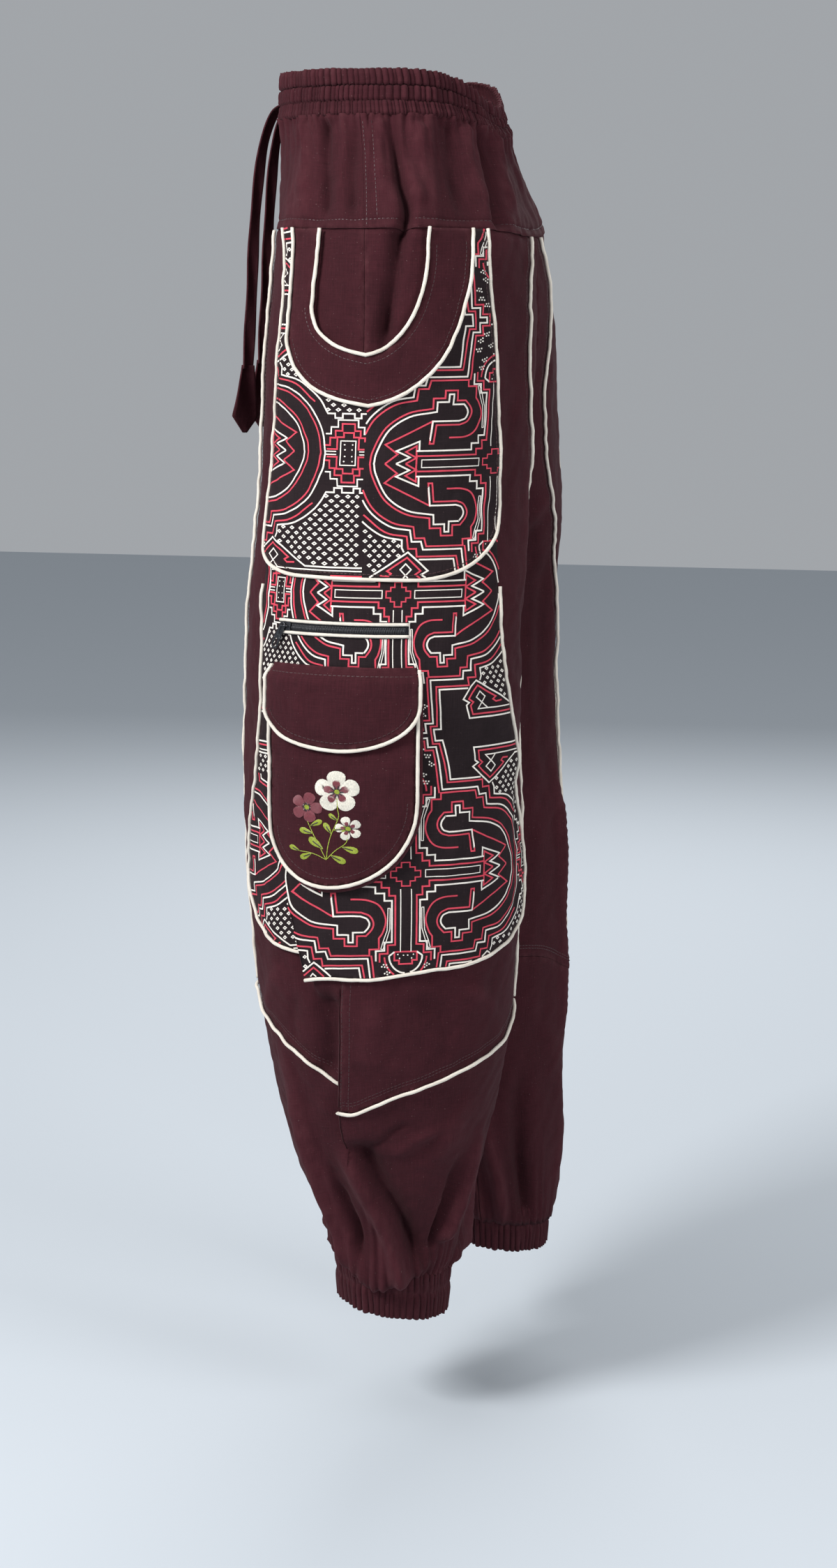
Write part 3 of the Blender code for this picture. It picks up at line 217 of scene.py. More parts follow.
def flat(angle, z):
    """Flat place of an angle in degrees and a height."""
    return (around(angle), z)


def unit(vectors):
    """Vectors scaled to a length of one."""
    return vectors / np.maximum(np.linalg.norm(vectors, axis=-1, keepdims=True), 1e-12)


def run_of(points):
    """Length along a line at each of its points."""
    return np.concatenate([[0.0], np.cumsum(np.linalg.norm(np.diff(points, axis=0), axis=1))])


def bend(points, steps=8):
    """A smooth curve through points."""
    at = np.array(points, float)
    if len(at) < 3:
        return at
    ends = np.concatenate([[2 * at[0] - at[1]], at, [2 * at[-1] - at[-2]]])
    t = np.arange(steps)[:, None] / steps
    runs = [0.5 * ((2 * q) + (r - p) * t + (2 * p - 5 * q + 4 * r - s) * t ** 2
                   + (3 * q - p - 3 * r + s) * t ** 3)
            for p, q, r, s in zip(ends, ends[1:], ends[2:], ends[3:])]
    return np.concatenate(runs + [at[-1:]])


def ease(share):
    """Zero to one with soft ends."""
    share = np.clip(share, 0.0, 1.0)
    return share * share * (3.0 - 2.0 * share)


def form_value(name, v):
    """A column of LEG_FORM at heights v, on a smooth curve with no overshoot."""
    x, y = LEG_FORM[:, 0], LEG_FORM[:, FORM_COLUMNS.index(name)]
    slope = np.diff(y) / np.diff(x)
    product = slope[:-1] * slope[1:]
    inner = np.where(product > 0.0, 2.0 * product / (slope[:-1] + slope[1:] + (product <= 0.0)), 0.0)
    ends = np.concatenate([slope[:1], inner, [0.0]])
    i = np.clip(np.searchsorted(x, v, side="right") - 1, 0, len(x) - 2)
    step = x[i + 1] - x[i]
    t = np.clip((v - x[i]) / step, 0.0, 1.0)
    return ((2 * t ** 3 - 3 * t ** 2 + 1) * y[i] + (t ** 3 - 2 * t ** 2 + t) * step * ends[i]
            + (3 * t ** 2 - 2 * t ** 3) * y[i + 1] + (t ** 3 - t ** 2) * step * ends[i + 1])


def half_turn(v):
    """Girth from a side seam to the garment's middle plane."""
    return np.arccos(np.clip(-form_value("cx", v) / form_value("a", v), -1.0, 1.0)) * GIRTH


def bare_form(leg, u, v):
    """Points on the leg's inner face with no folds, as on the wearer's left side."""
    turn = u / GIRTH
    b, back = form_value("b", v), np.sin(turn)
    z = v + form_value("tilt", v) * b * back - form_value("back_dip", v) * np.maximum(0.0, back) ** 6
    return np.stack([form_value("cx", v) + form_value("a", v) * np.cos(turn),
                     form_value("cy_" + leg, v) + b * back, z], axis=-1)


def crease_height(u, v, line, front, back, height, fades):
    """Height of one crease at flat places."""
    at = bend([flat(*place) for place in line])
    level = abs(at[-1, 1] - at[0, 1]) < 0.5 * abs(at[-1, 0] - at[0, 0])
    along, aside = (0, 1) if level else (1, 0)
    at = at[np.argsort(at[:, along])]
    key, other = (u, v) if level else (v, u)
    low, high = at[0, along], at[-1, along]
    result = np.zeros(len(u))
    near = np.flatnonzero((key > low) & (key < high))
    slope = (at[-1, aside] - at[0, aside]) / (high - low)
    off = (other[near] - np.interp(key[near], at[:, along], at[:, aside])) / math.hypot(1.0, slope)
    share = (key[near] - low) / (high - low)
    fade = ease(share / fades[0]) * ease((1.0 - share) / fades[1])
    uneven = 1.0 + 0.18 * np.sin(share * 9.0 + 40.0 * front + 7.0 * low)
    result[near] = height * uneven * fade * np.exp(-(off / np.where(off < 0.0, front, back)) ** 2)
    return result


def gathers(w, distance, pitch, depth, reach, seed, length):
    """Uneven ridges across w that fade with distance from the seam they are gathered into."""
    pick = np.random.default_rng(seed)
    total = np.zeros(len(w))
    near = np.flatnonzero((distance > -0.004) & (distance < 3.2 * reach))
    if not len(near):
        return total
    at, spot = -0.5 * length, w[near]
    part = np.zeros(len(near))
    while at < 0.5 * length:
        wide = pitch * pick.uniform(0.22, 0.42)
        lean = pick.normal() * 0.10
        off = spot - at - lean * distance[near]
        off -= length * np.round(off / length)
        fade = np.exp(-np.maximum(distance[near], 0.0) / (reach * pick.uniform(0.5, 1.6)))
        part += depth * pick.uniform(0.4, 1.3) * fade * np.exp(-(off / wide) ** 2)
        at += pitch * pick.uniform(0.6, 1.5)
    total[near] = part
    return total


def drape(leg, u, v):
    """Height of the cloth's own folds at flat places."""
    total = np.zeros(len(u))
    for owner, line, front, back, height, fades in CREASES:
        if owner in ("both", leg):
            total += crease_height(u, v, line, front, back, height, fades)
    total *= 1.25 + 0.50 * ease((-.790 - v) / 0.060) + 0.40 * ease((v + .140) / 0.020)
    seed = 1 if leg == "left" else 2
    total += gathers(u, v - CUFF_TOP, 0.0115, 0.0046, 0.022, seed, FULL_TURN)
    point = bare_form(leg, u, v)
    if leg == "right":
        point[:, 0] *= -1.0
    for way, phase, amplitude in CRUMPLE:
        total += amplitude * np.sin(point @ way + phase + 1.3 * np.sin(point @ way[::-1] * 0.6))
    if leg == "left":     # the cloth lies flat under the zip's slider and tab
        total *= 1.0 - np.exp(-((u + 0.0600) / 0.024) ** 4 - ((v + 0.4440) / 0.024) ** 4)
    return total


def lap_place(lap, v):
    """u of a lap's edge at heights v, and how far the lap is formed there."""
    at = bend([flat(*place) for place in lap["line"]])
    share = ease((v - lap["foot"]) / (lap["full_foot"] - lap["foot"]))
    share = share * ease((lap["top"] - v) / (lap["top"] - lap["full_top"]))
    return np.interp(v, at[:, 1], at[:, 0]), share


def lay(leg, u, v, height, cut=None, side=None):
    """Places and heights once the laps are folded. A piece cut along a lap gives each place's side."""
    height = height + np.zeros(len(u))
    if leg == "right":
        return u, v, height
    u, v = u.copy(), v.copy()
    for name, lap in LAPS.items():
        edge, share = lap_place(lap, v)
        off = u - edge
        back = side if name == cut else 1.0 / (1.0 + np.exp(-np.clip(off / 0.0022, -30, 30)))
        off = np.abs(off)
        if name == cut:
            u += (1.0 - back) * lap["under"] * share * np.exp(-off / 0.010)
        height += share * (back * lap["rise"] * np.exp(-off / 0.024)
                           - (1.0 - back) * lap["sink"] * np.exp(-off / 0.014))
        v += share * ((1.0 - back) * lap["lift"] * np.exp(-off / 0.040)
                      - back * lap["drop"] * np.exp(-off / 0.034))
    return u, v, height


def worn(leg, u, v, height=0.0, cut=None, side=None, folds=None):
    """Points of flat places on a worn leg, a height above the base cloth's inner face."""
    if folds is None:
        folds = drape(leg, u, v)
    u, v, height = lay(leg, u, v, height, cut, side)
    step = 0.0015
    across = bare_form(leg, u + step, v) - bare_form(leg, u - step, v)
    up = bare_form(leg, u, v + step) - bare_form(leg, u, v - step)
    normal = unit(np.cross(across, up))
    points = bare_form(leg, u, v) + normal * (height + folds)[:, None]
    if leg == "right":
        points[:, 0] *= -1.0
    return points


def dense(line, spacing, closed=False):
    """The line with points no further apart than the spacing and its corners kept."""
    at = np.array(line, float)
    ends = np.concatenate([at[1:], at[:1]]) if closed else at[1:]
    result = []
    for p, q in zip(at, ends):
        count = max(1, int(math.ceil(np.linalg.norm(q - p) / spacing)))
        result.append(p + (q - p) * (np.arange(count) / count)[:, None])
    if not closed:
        result.append(at[-1:])
    return np.concatenate(result)


def within(polygon, places):
    """Which flat places lie in a polygon."""
    result = np.zeros(len(places), bool)
    x, y = places[:, 0], places[:, 1]
    for (x1, y1), (x2, y2) in zip(polygon, np.roll(polygon, -1, axis=0)):
        if y1 != y2:
            result ^= ((y1 > y) != (y2 > y)) & (x < x1 + (y - y1) * (x2 - x1) / (y2 - y1))
    return result


def beside(line, distance):
    """A line moved to its left, with its corners kept sharp."""
    at = np.array(line, float)
    way = unit(np.diff(at, axis=0))
    before, after = np.concatenate([way[:1], way]), np.concatenate([way, way[-1:]])
    along = unit(before + after)
    stretch = distance / np.maximum((along * after).sum(axis=1), 0.5)
    return at + np.stack([-along[:, 1], along[:, 0]], axis=1) * stretch[:, None]


def distance_to(line, places):
    """Distance of flat places from the nearest point of a line."""
    tree = KDTree(len(line))
    for i, (x, y) in enumerate(line):
        tree.insert((x, y, 0.0), i)
    tree.balance()
    return np.array([tree.find((x, y, 0.0))[2] for x, y in places])


def heights(height, places):
    """A height, given as a number or as a function of flat places, at each place."""
    return height(places) if callable(height) else np.full(len(places), height)


def new_piece(name, points, faces, finish, body="pants", **attributes):
    """A smooth mesh object with per-point attributes, its finish and the body it rides on."""
    data = bpy.data.meshes.new(name)
    data.from_pydata(points.tolist(), [], faces if isinstance(faces, list) else faces.tolist())
    data.shade_smooth()
    for key, values in attributes.items():
        values = np.asarray(values, np.float32)
        kind, field = ("FLOAT", "value") if values.ndim == 1 else ("FLOAT_VECTOR", "vector")
        if values.ndim == 2 and values.shape[1] == 2:
            values = np.column_stack([values, np.zeros(len(values), np.float32)])
        data.attributes.new(key, kind, "POINT").data.foreach_set(field, values.ravel())
    data.materials.append(finish)
    piece = bpy.data.objects.new(name, data)
    bpy.context.scene.collection.objects.link(piece)
    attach(piece, body)
    return piece


def wall(piece, thickness=CLOTH):
    """The cloth's thickness, added on its outer side."""
    solid = piece.modifiers.new("thickness", "SOLIDIFY")
    solid.thickness = thickness
    solid.offset = 1.0
    return piece


def filled(rim, spacing, lap):
    """Flat places and triangles that fill a closed rim, with edges along the lap's line."""
    low, high = rim.min(axis=0), rim.max(axis=0)
    rows = np.arange(low[1], high[1], spacing * 0.866)
    runs = [np.arange(low[0] + (i % 2) * 0.5 * spacing, high[0], spacing) for i in range(len(rows))]
    places = np.concatenate([np.column_stack([run, np.full(len(run), row)])
                             for run, row in zip(runs, rows)])
    places = places[within(rim, places)]
    fixed, edges = rim, [(i, (i + 1) % len(rim)) for i in range(len(rim))]
    if lap:
        v = np.arange(lap["foot"] - 0.006, lap["top"] + 0.006, spacing)
        line = np.column_stack([lap_place(lap, v)[0], v])
        line = line[within(rim, line)]
        fixed = np.concatenate([rim, line])
        edges += [(len(rim) + i, len(rim) + i + 1) for i in range(len(line) - 1)]
    places = np.concatenate([fixed, places[distance_to(fixed, places) > 0.62 * spacing]])
    verts, _, faces, *_ = delaunay_2d_cdt([Vector(p) for p in places], edges, [], 0, 1e-7)
    places = np.array([tuple(p) for p in verts])
    faces = np.array([tuple(f) for f in faces if len(f) == 3])
    return places, faces[within(rim, places[faces].mean(axis=1))]


def folded(leg, cut, places, faces, height, folds, edge):
    """The part of a cloth behind its lap's line laid over the part in front, with a rolled edge."""
    lap, count = LAPS[cut], len(places)
    u, v = places.T
    line_u, share = lap_place(lap, v)
    middle = places[faces].mean(axis=1)
    behind = middle[:, 0] > lap_place(lap, middle[:, 1])[0]
    twin = np.arange(count) + count * (share > 0.0)
    faces = [np.where(behind[:, None], twin[faces], faces)]
    points = [worn(leg, u, v, height, cut, side, folds) for side in (0.0, 1.0)]
    places, folds, edge = [places, places], [folds, folds], [edge, edge]
    line = np.flatnonzero((v > lap["foot"] + 0.001) & (v < lap["top"]) & (np.abs(u - line_u) < 1e-5))
    line = line[np.argsort(v[line])]
    last, made = line + count, np.arange(len(line)) + 2 * count
    for aside, down in ROLL:
        spot = np.stack([u[line] + aside * share[line], v[line]], axis=1)
        points.append(worn(leg, *spot.T, height[line] - down * share[line], cut, 1.0, folds[0][line]))
        places.append(spot)
        folds.append(folds[0][line])
        edge.append(np.full(len(line), 0.5))
        faces += [np.column_stack([last[1:], last[:-1], made[:-1]]),
                  np.column_stack([made[1:], last[1:], made[:-1]])]
        last, made = made, made + len(line)
    return tuple(np.concatenate(part) for part in (points, faces, places, folds, edge))


def cut_cloth(node, leg, outline, finish, height=0.0, spacing=0.0036, cut=None,
              thickness=CLOTH, puff=None):
    """A piece cut to a flat outline and laid on the leg; cut names the lap that it folds along."""
    rim = dense(outline, spacing, closed=True)
    places, faces = filled(rim, spacing, LAPS.get(cut))
    distance = distance_to(rim, places)
    height = heights(height, places)
    if puff is not None:
        height = height + puff(places, distance)
    folds, edge = drape(leg, *places.T), np.exp(-distance / 0.0028)
    if cut:
        points, faces, places, folds, edge = folded(leg, cut, places, faces, height, folds, edge)
    else:
        points = worn(leg, *places.T, height, folds=folds)
    used, faces = np.unique(faces, return_inverse=True)
    faces = faces.reshape(-1, 3)
    if leg == "right":
        faces = faces[:, ::-1]
    # the fold attribute carries the drape height, which the cotton finish turns into painted shade in
    # troughs and a painted highlight on ridges
    piece = new_piece(node + "_cloth", points[used], faces, finish, flat=places[used],
                      edge=edge[used], fold=np.clip(folds[used] / 0.005, -1.0, 1.0))
    wall(piece, thickness)
    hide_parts(node)
    return piece


class Field:
    """A shader socket that takes part in sums and products, and makes other nodes."""

    def __init__(self, tree, socket=None):
        self.tree, self.socket = tree, socket

    def node(self, kind, settings=None, inputs=None, output=0):
        made = self.tree.nodes.new("ShaderNode" + kind)
        for key, value in (settings or {}).items():
            setattr(made, key, value)
        for key, value in (inputs or {}).items():
            if isinstance(value, Field):
                self.tree.links.new(value.socket, made.inputs[key])
            else:
                made.inputs[key].default_value = value
        return Field(self.tree, made.outputs[output])

    def calc(self, operation, first, second):
        return self.node("Math", {"operation": operation}, {0: first, 1: second})

    def __add__(self, other):
        return self.calc("ADD", self, other)

    def __sub__(self, other):
        return self.calc("SUBTRACT", self, other)

    def __rsub__(self, other):
        return self.calc("SUBTRACT", other, self)

    def __mul__(self, other):
        return self.calc("MULTIPLY", self, other)

    __radd__, __rmul__ = __add__, __mul__

    def attribute(self, name, output="Vector"):
        """A piece's own attribute: its flat places, or how near to an edge or on a fold it is."""
        return self.node("Attribute", {"attribute_name": name}, output=output)

    def range(self, low, high):
        """Zero below low, one above high."""
        return self.node("MapRange", {}, {"Value": self, "From Min": low, "From Max": high})

    def sine_of(self, axis, pitch):
        """A sine along one axis of this place."""
        turn = self.node("SeparateXYZ", {}, {0: self}, axis) * (2.0 * math.pi / pitch)
        return self.node("Math", {"operation": "SINE"}, {0: turn})

    def noise(self, detail, x, y, z=1.0):
        """Noise at this place, with x, y and z features to the metre along the axes."""
        place = self.node("VectorMath", {"operation": "MULTIPLY"}, {0: self, 1: (x, y, z)})
        return self.node("TexNoise", {}, {"Vector": place, "Scale": 1.0, "Detail": detail})

    def wave(self, direction, **inputs):
        """Bands across this place."""
        return self.node("TexWave", {"bands_direction": direction}, dict(inputs, Vector=self), "Fac")

    def mix(self, first, second):
        """Blend of two colours, with this as the second one's share."""
        return self.node("Mix", {"data_type": "RGBA"}, {0: self, 6: first, 7: second}, 2)

    def bump(self, strength, distance):
        """Surface normal with this as its relief."""
        return self.node("Bump", {}, {"Strength": strength, "Distance": distance, "Height": self})


def rgb(red, green, blue):
    return (red, green, blue, 1.0)


def times(colour, factor):
    """A darker or lighter colour."""
    return tuple(part * factor for part in colour[:3]) + (1.0,)


def inputs_of(finish):
    return finish.node_tree.nodes["Principled BSDF"].inputs


def new_finish(name, roughness, **constants):
    """A material with constant inputs, and an empty Field to start its nodes from."""
    finish = bpy.data.materials.new(name)
    finish.use_nodes = True
    for key, value in dict(constants, Roughness=roughness).items():
        inputs_of(finish)[key.replace("_", " ")].default_value = value
    return finish, Field(finish.node_tree)


def link(finish, **fields):
    for key, field in fields.items():
        finish.node_tree.links.new(field.socket, inputs_of(finish)[key.replace("_", " ")])
    return finish


YARN = 0.00062            # pitch of the weave


def cotton(name, colour, paler_colour, lint=1.0):
    """Plain-weave cotton: uneven yarns, soft creases, lint, wear at seam edges, paler fold ridges, and
    painted shade in fold valleys with a painted highlight on the ridges.
    """
    finish, start = new_finish(name, 0.88, Sheen_Weight=0.05, Sheen_Roughness=0.45,
                               Sheen_Tint=rgb(0.75, 0.40, 0.42), Specular_IOR_Level=0.16)
    place = start.attribute("flat")
    edge, fold = start.attribute("edge", "Fac"), start.attribute("fold", "Fac")
    cloud = place.noise(4.0, 28.0, 14.0)
    warp = place.noise(2.0, 1700.0, 55.0)
    weft = place.noise(2.0, 60.0, 1500.0)
    specks = place.noise(1.0, 900.0, 700.0).range(0.735, 0.79)
    rub = place.noise(4.0, 160.0, 90.0).range(0.35, 0.75)
    nap = place.noise(2.0, 430.0, 380.0)
    yarns = 0.75 * (warp - 0.5) + 0.60 * (weft - 0.5) + 0.30 * (nap - 0.5)
    # painted shade: the fold attribute darkens the colour in fold valleys and lightens it on fold ridges as
    # a painted highlight
    tone_and_painted_shade = 0.80 + 0.40 * cloud + yarns + 0.20 * fold
    base = tone_and_painted_shade.range(0.62, 1.38).mix(times(colour, 0.62), times(colour, 1.38))
    # paler towards seam edges, where the cloth is worn, and on fold ridges
    edge_wear_and_ridge_paling = edge * rub * 0.45 + fold.range(0.25, 1.0) * rub * 0.22
    base = edge_wear_and_ridge_paling.mix(base, paler_colour)
    base = (specks * (0.34 * lint)).mix(base, rgb(0.30, 0.20, 0.19))
    weave = place.sine_of(0, YARN) * place.sine_of(1, YARN)
    pucker = place.noise(2.0, 210.0, 210.0)
    crumple = place.noise(3.0, 95.0, 60.0)
    relief = weave * 0.10 + warp * 0.22 + weft * 0.16 + pucker * edge * 1.6 + crumple * 1.5
    return link(finish, Base_Color=base, Normal=relief.bump(0.70, 0.0007), Roughness=0.94 - 0.10 * edge_wear_and_ridge_paling)


brown = cotton("wine_brown_cotton", rgb(0.040, 0.0082, 0.0120), rgb(0.115, 0.036, 0.042))

HEM = [(-180, -.748), (-110, -.746), (-77, -.749), (-40, -.785), (-6, -.830), (86, -.784),
       (112, -.758), (180, -.748)]
SEAMS = [
    # z        front   back_left back_right
    (-.1245, -64.0, 86.0, 86.0), (-.1700, -65.0, 83.5, 86.0), (-.2100, -68.0, 82.5, 92.0),
    (-.2500, -71.0, 85.0, 101.0), (-.3000, -74.0, 94.0, 105.0), (-.3500, -77.0, 103.0, 101.0),
    (-.4300, -80.0, 107.0, 92.0), (-.5000, -82.0, 108.0, 85.0), (-.6200, -84.0, 109.0, 84.0),
    (-.8500, -84.0, 108.0, 86.0),
]
# angles at which the front and back seams reach the knee seam
SEAM_ENDS = {"left": (-84.0, 108.5), "right": (-84.0, 85.5)}


def table_edge(table, column, top, bottom, steps=0.012):
    """Smooth line down a table's column of angles."""
    rows = bend([(row[column], row[0]) for row in table])[::-1]
    z = np.linspace(top, bottom, max(2, int((top - bottom) / steps)))
    return np.column_stack([around(np.interp(z, rows[:, 1], rows[:, 0])), z])


def hem_line(start, end, rise=0.0):
    """The pointed knee seam between two angles: rounded corners, and a sharper one at its point."""
    angle = np.linspace(start, end, max(2, int(abs(end - start) / 1.5)))
    table = np.array(HEM, float)
    corner = 4.0 + 9.0 * ease((np.abs(angle + 6.0) - 12.0) / 22.0)
    turns = np.linspace(-1.0, 1.0, 7)
    z = sum(np.interp(angle + turn * corner, table[:, 0], table[:, 1]) for turn in turns)
    return np.column_stack([around(angle), z / len(turns) + rise])


def long_seam(leg, end, top, rise=0.0):
    """The front (end 0) or back (end 1) seam, from a height to a rise above the knee seam."""
    angle = SEAM_ENDS[leg][end]
    column = BACK_COLUMN[leg] if end else 1
    return table_edge(SEAMS, column, top, hem_line(angle, angle)[0, 1] + rise)


def side_seam(leg, angle, top, bottom):
    """The side seam; on the left leg its foot swings forward to the fold above the knee seam."""
    v = np.linspace(top, bottom, 70)
    u = np.full(len(v), around(angle))
    if leg == "left":
        u += (lap_place(LAPS["knee"], v)[0] + 0.0012) * ease((-.600 - v) / 0.100)
    return np.column_stack([u, v])


def tuck(places):
    """The panels' seam allowance lies behind the yoke."""
    return -0.0016 * ease((places[:, 1] - YOKE_BOTTOM + 0.0022) / 0.0024)


def middle_line(sign, top, bottom):
    """The edge on the garment's middle plane, then down the inseam."""
    z = np.linspace(top, bottom, 60)
    return np.column_stack([sign * np.minimum(half_turn(z), (math.pi - 0.0015) * GIRTH), z])


def down_to_hem(seam):
    """A side seam cut off at the knee seam."""
    hem = hem_line(-30.0, 12.0)
    seam = seam[seam[:, 1] > np.interp(seam[:, 0], hem[:, 0], hem[:, 1])]
    return np.concatenate([seam, [(seam[-1, 0], np.interp(seam[-1, 0], hem[:, 0], hem[:, 1]))]])


for leg in LEGS:
    top = YOKE_BOTTOM + 0.0034       # the seam allowance runs up behind the yoke
    front, back = long_seam(leg, 0, top), long_seam(leg, 1, top)
    inner = [middle_line(sign, top, -.748) for sign in (-1, 1)]
    seams = [down_to_hem(side_seam(leg, angle, top, -.840)) for angle in (-0.08, 0.08)]
    for name, first, second, lap, yoke in (("front_panel_", inner[0], front, None, "yoke_front"),
                                           ("front_side_panel_", front, seams[0], "knee", "yoke_front"),
                                           ("back_side_panel_", seams[1], back, "knee", "yoke_back"),
                                           ("back_panel_", back, inner[1], None, "yoke_back")):
        hem = hem_line(angle_of(first[-1, 0]), angle_of(second[-1, 0]))[1:-1]
        cut_cloth(name + leg, leg, np.concatenate([first, hem, second[::-1]]), brown, tuck,
                  0.0034 if leg == "left" else 0.0044, cut=lap if leg == "left" else None)

# ---- Lower legs ------------------------------------------------------------------------------
# Below the pointed knee seam each leg is one tube of the same cotton with its seam inside the leg.
# It is gathered into the cuff and its slack blouses over the cuff's upper edge, most at the front.
SLACK_TOP = -0.9480       # where the slack starts to hang
LOWER_LEG_FOOT = -0.9874
BLOUSE = {
    # angle, how far the slack hangs past the cuff's top, how far it stands out
    "left": [(-180, .004, .006), (-120, .006, .007), (-70, .002, .004), (-40, .003, .006),
             (-26, .007, .008), (-3, .019, .010), (18, .012, .009), (34, .005, .007),
             (52, .000, .003), (80, .000, .002), (110, .005, .006), (150, .008, .007),
             (180, .004, .006)],
    "right": [(-180, .019, .004), (-135, .012, .006), (-92, .018, .009), (-60, .009, .008),
              (-20, .004, .005), (20, .006, .006), (60, .014, .003), (95, .021, .002),
              (140, .020, .002), (180, .019, .004)],
}


def blouse_rows(leg, places):
    """Drop and outward bulge of the slack over the cuff."""
    angle = angle_of(places[:, 0])
    knots = bend(BLOUSE[leg])
    low = np.interp(angle, knots[:, 0], knots[:, 1])
    out = np.interp(angle, knots[:, 0], knots[:, 2])
    share = np.clip((SLACK_TOP - places[:, 1]) / (SLACK_TOP - LOWER_LEG_FOOT), 0.0, 1.0)
    hang = np.where(share < 0.84, ease(share / 0.84) ** 1.5, ease((1.0 - share) / 0.16))
    swell = np.where(share < 0.70, ease(share / 0.70), ease((1.0 - share) / 0.30))
    return low * hang, out * swell


for leg in LEGS:
    end = 179.85
    outline = np.concatenate([[flat(-end, LOWER_LEG_FOOT), flat(end, LOWER_LEG_FOOT)],
                              hem_line(-end, end, -0.0003)[::-1]])
    piece = cut_cloth("lower_leg_" + leg, leg, outline, brown,
                      spacing=0.0027 if leg == "left" else 0.0040, cut="knee" if leg == "left" else None,
                      puff=lambda places, distance: blouse_rows(leg, places)[1])
    place = np.zeros(len(piece.data.vertices) * 3, np.float32)
    piece.data.attributes["flat"].data.foreach_get("vector", place)
    drop = blouse_rows(leg, place.reshape(-1, 3)[:, :2].astype(float))[0]
    for vert, down in zip(piece.data.vertices, drop):
        vert.co.z -= down

# ---- Elastic cuffs ---------------------------------------------------------------------------
# A narrow tube of cotton over elastic: close vertical puckers, a shirring row through its middle
# and a scalloped lower edge.
CUFF_EDGE = CUFF_TOP + 0.0035         # its upper edge, turned in behind the lower leg


def tube_faces(rows, columns, closed):
    """Quads of a grid whose rows run downwards, facing out."""
    faces = []
    for i in range(rows - 1):
        for j in range(columns if closed else columns - 1):
            k = (j + 1) % columns
            faces.append((i * columns + j, (i + 1) * columns + j, (i + 1) * columns + k, i * columns + k))
    return faces


def puckers(w, pitch, seed, length):
    """Rounded ribs with sharp valleys between them, uneven in width: about 0 to 1."""
    pick = np.random.default_rng(seed)
    count = int(round(length / pitch))
    marks = np.cumsum(pick.uniform(0.65, 1.35, count))
    marks = np.concatenate([[0.0], marks / marks[-1]]) * length
    strength = pick.uniform(0.55, 1.15, count)
    at = np.mod(w, length)
    i = np.clip(np.searchsorted(marks, at, side="right") - 1, 0, count - 1)
    share = (at - marks[i]) / (marks[i + 1] - marks[i])
    return strength[i] * np.sin(math.pi * share) ** 0.8


for leg in LEGS:
    columns, rows = (396, 22) if leg == "left" else (330, 14)
    length = FULL_TURN
    share = np.linspace(0.0, 1.0, rows)
    u = np.tile(np.linspace(-0.5, 0.5, columns, endpoint=False) * length, rows)
    t = np.repeat(share, columns)
    ribs = puckers(u + 0.0010 * np.sin(t * 7.0), length / 66, 21, length)
    ribs = ribs * (1.0 - t) + t * puckers(u, length / 58, 22, length)
    pinch = np.exp(-((t - 0.48) / 0.07) ** 2) + 0.9 * np.exp(-((t - 0.02) / 0.05) ** 2)
    height = 0.0031 * ribs * (1.0 - 0.60 * np.minimum(pinch, 1.0)) + 0.0009 * np.sin(math.pi * t)
    v = CUFF_EDGE + t * (CUFF_BOTTOM - CUFF_EDGE) - 0.0020 * ribs * ease((t - 0.7) / 0.3)
    height = height * (1.0 - 0.8 * ease((v - CUFF_TOP + 0.0005) / 0.0035))
    height -= 0.0018 * ease((v - CUFF_TOP) / 0.0030)
    points = worn(leg, u, v, height, folds=0.0)
    faces = np.array(tube_faces(rows, columns, True))
    if leg == "right":
        faces = faces[:, ::-1]
    # fold marks the ribs for painted shade in the valleys between them and a painted highlight on their
    # crowns
    piece = new_piece("cuff_%s_cloth" % leg, points, faces, brown, flat=np.column_stack([u, v]),
                      edge=0.25 + 0.5 * pinch, fold=1.6 * ribs - 1.1)
    wall(piece, 0.0012)
    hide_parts("cuff_" + leg)

# ---- Yokes -----------------------------------------------------------------------------------
# A front and a back yoke of the brown cotton, joined at the sides. Their upper edges are gathered
# into the waistband, so small folds run down from it, and the lower seam is topstitched.
BAND_BOTTOM = -0.0345
TOPSTITCH = YOKE_BOTTOM + 0.0072
WAIST = 0.660             # girth of the yoke's ring in flat metres


def ring_piece(name, first, last, count, v, height_of, closed):
    """Grid across both legs' upper forms. Columns run from first to last as shares of a half turn."""
    grid, flats, folds = [], [], []
    for leg in LEGS:
        share = np.linspace(first, last, count)
        if leg == "right":
            share = share[::-1][1:-1 if closed else count]
        t, high = np.meshgrid(share, v)
        w = t * 0.25 * WAIST
        ring = w if leg == "left" else 0.5 * WAIST - w
        u = (t * half_turn(high)).ravel()
        height, level, fold = height_of(leg, ring.ravel(), u, high.ravel())
        points = worn(leg, u, level, height, folds=0.0).reshape(*t.shape, 3)
        points[:, np.abs(np.abs(share) - 1.0) < 1e-6, 0] = 0.0
        grid.append(points)
        flats.append(np.stack([ring, high], axis=-1))
        folds.append(fold.reshape(t.shape))
    grid, flats, folds = (np.concatenate(part, axis=1) for part in (grid, flats, folds))
    rows, columns = grid.shape[:2]
    faces = np.array(tube_faces(rows, columns, closed))
    edge = np.exp(-np.minimum(v[0] - v, v - v[-1]) / 0.0030)[:, None] * np.ones((1, columns))
    return new_piece(name, grid.reshape(-1, 3), faces, brown, flat=flats.reshape(-1, 2),
                     edge=edge.ravel(), fold=folds.ravel())


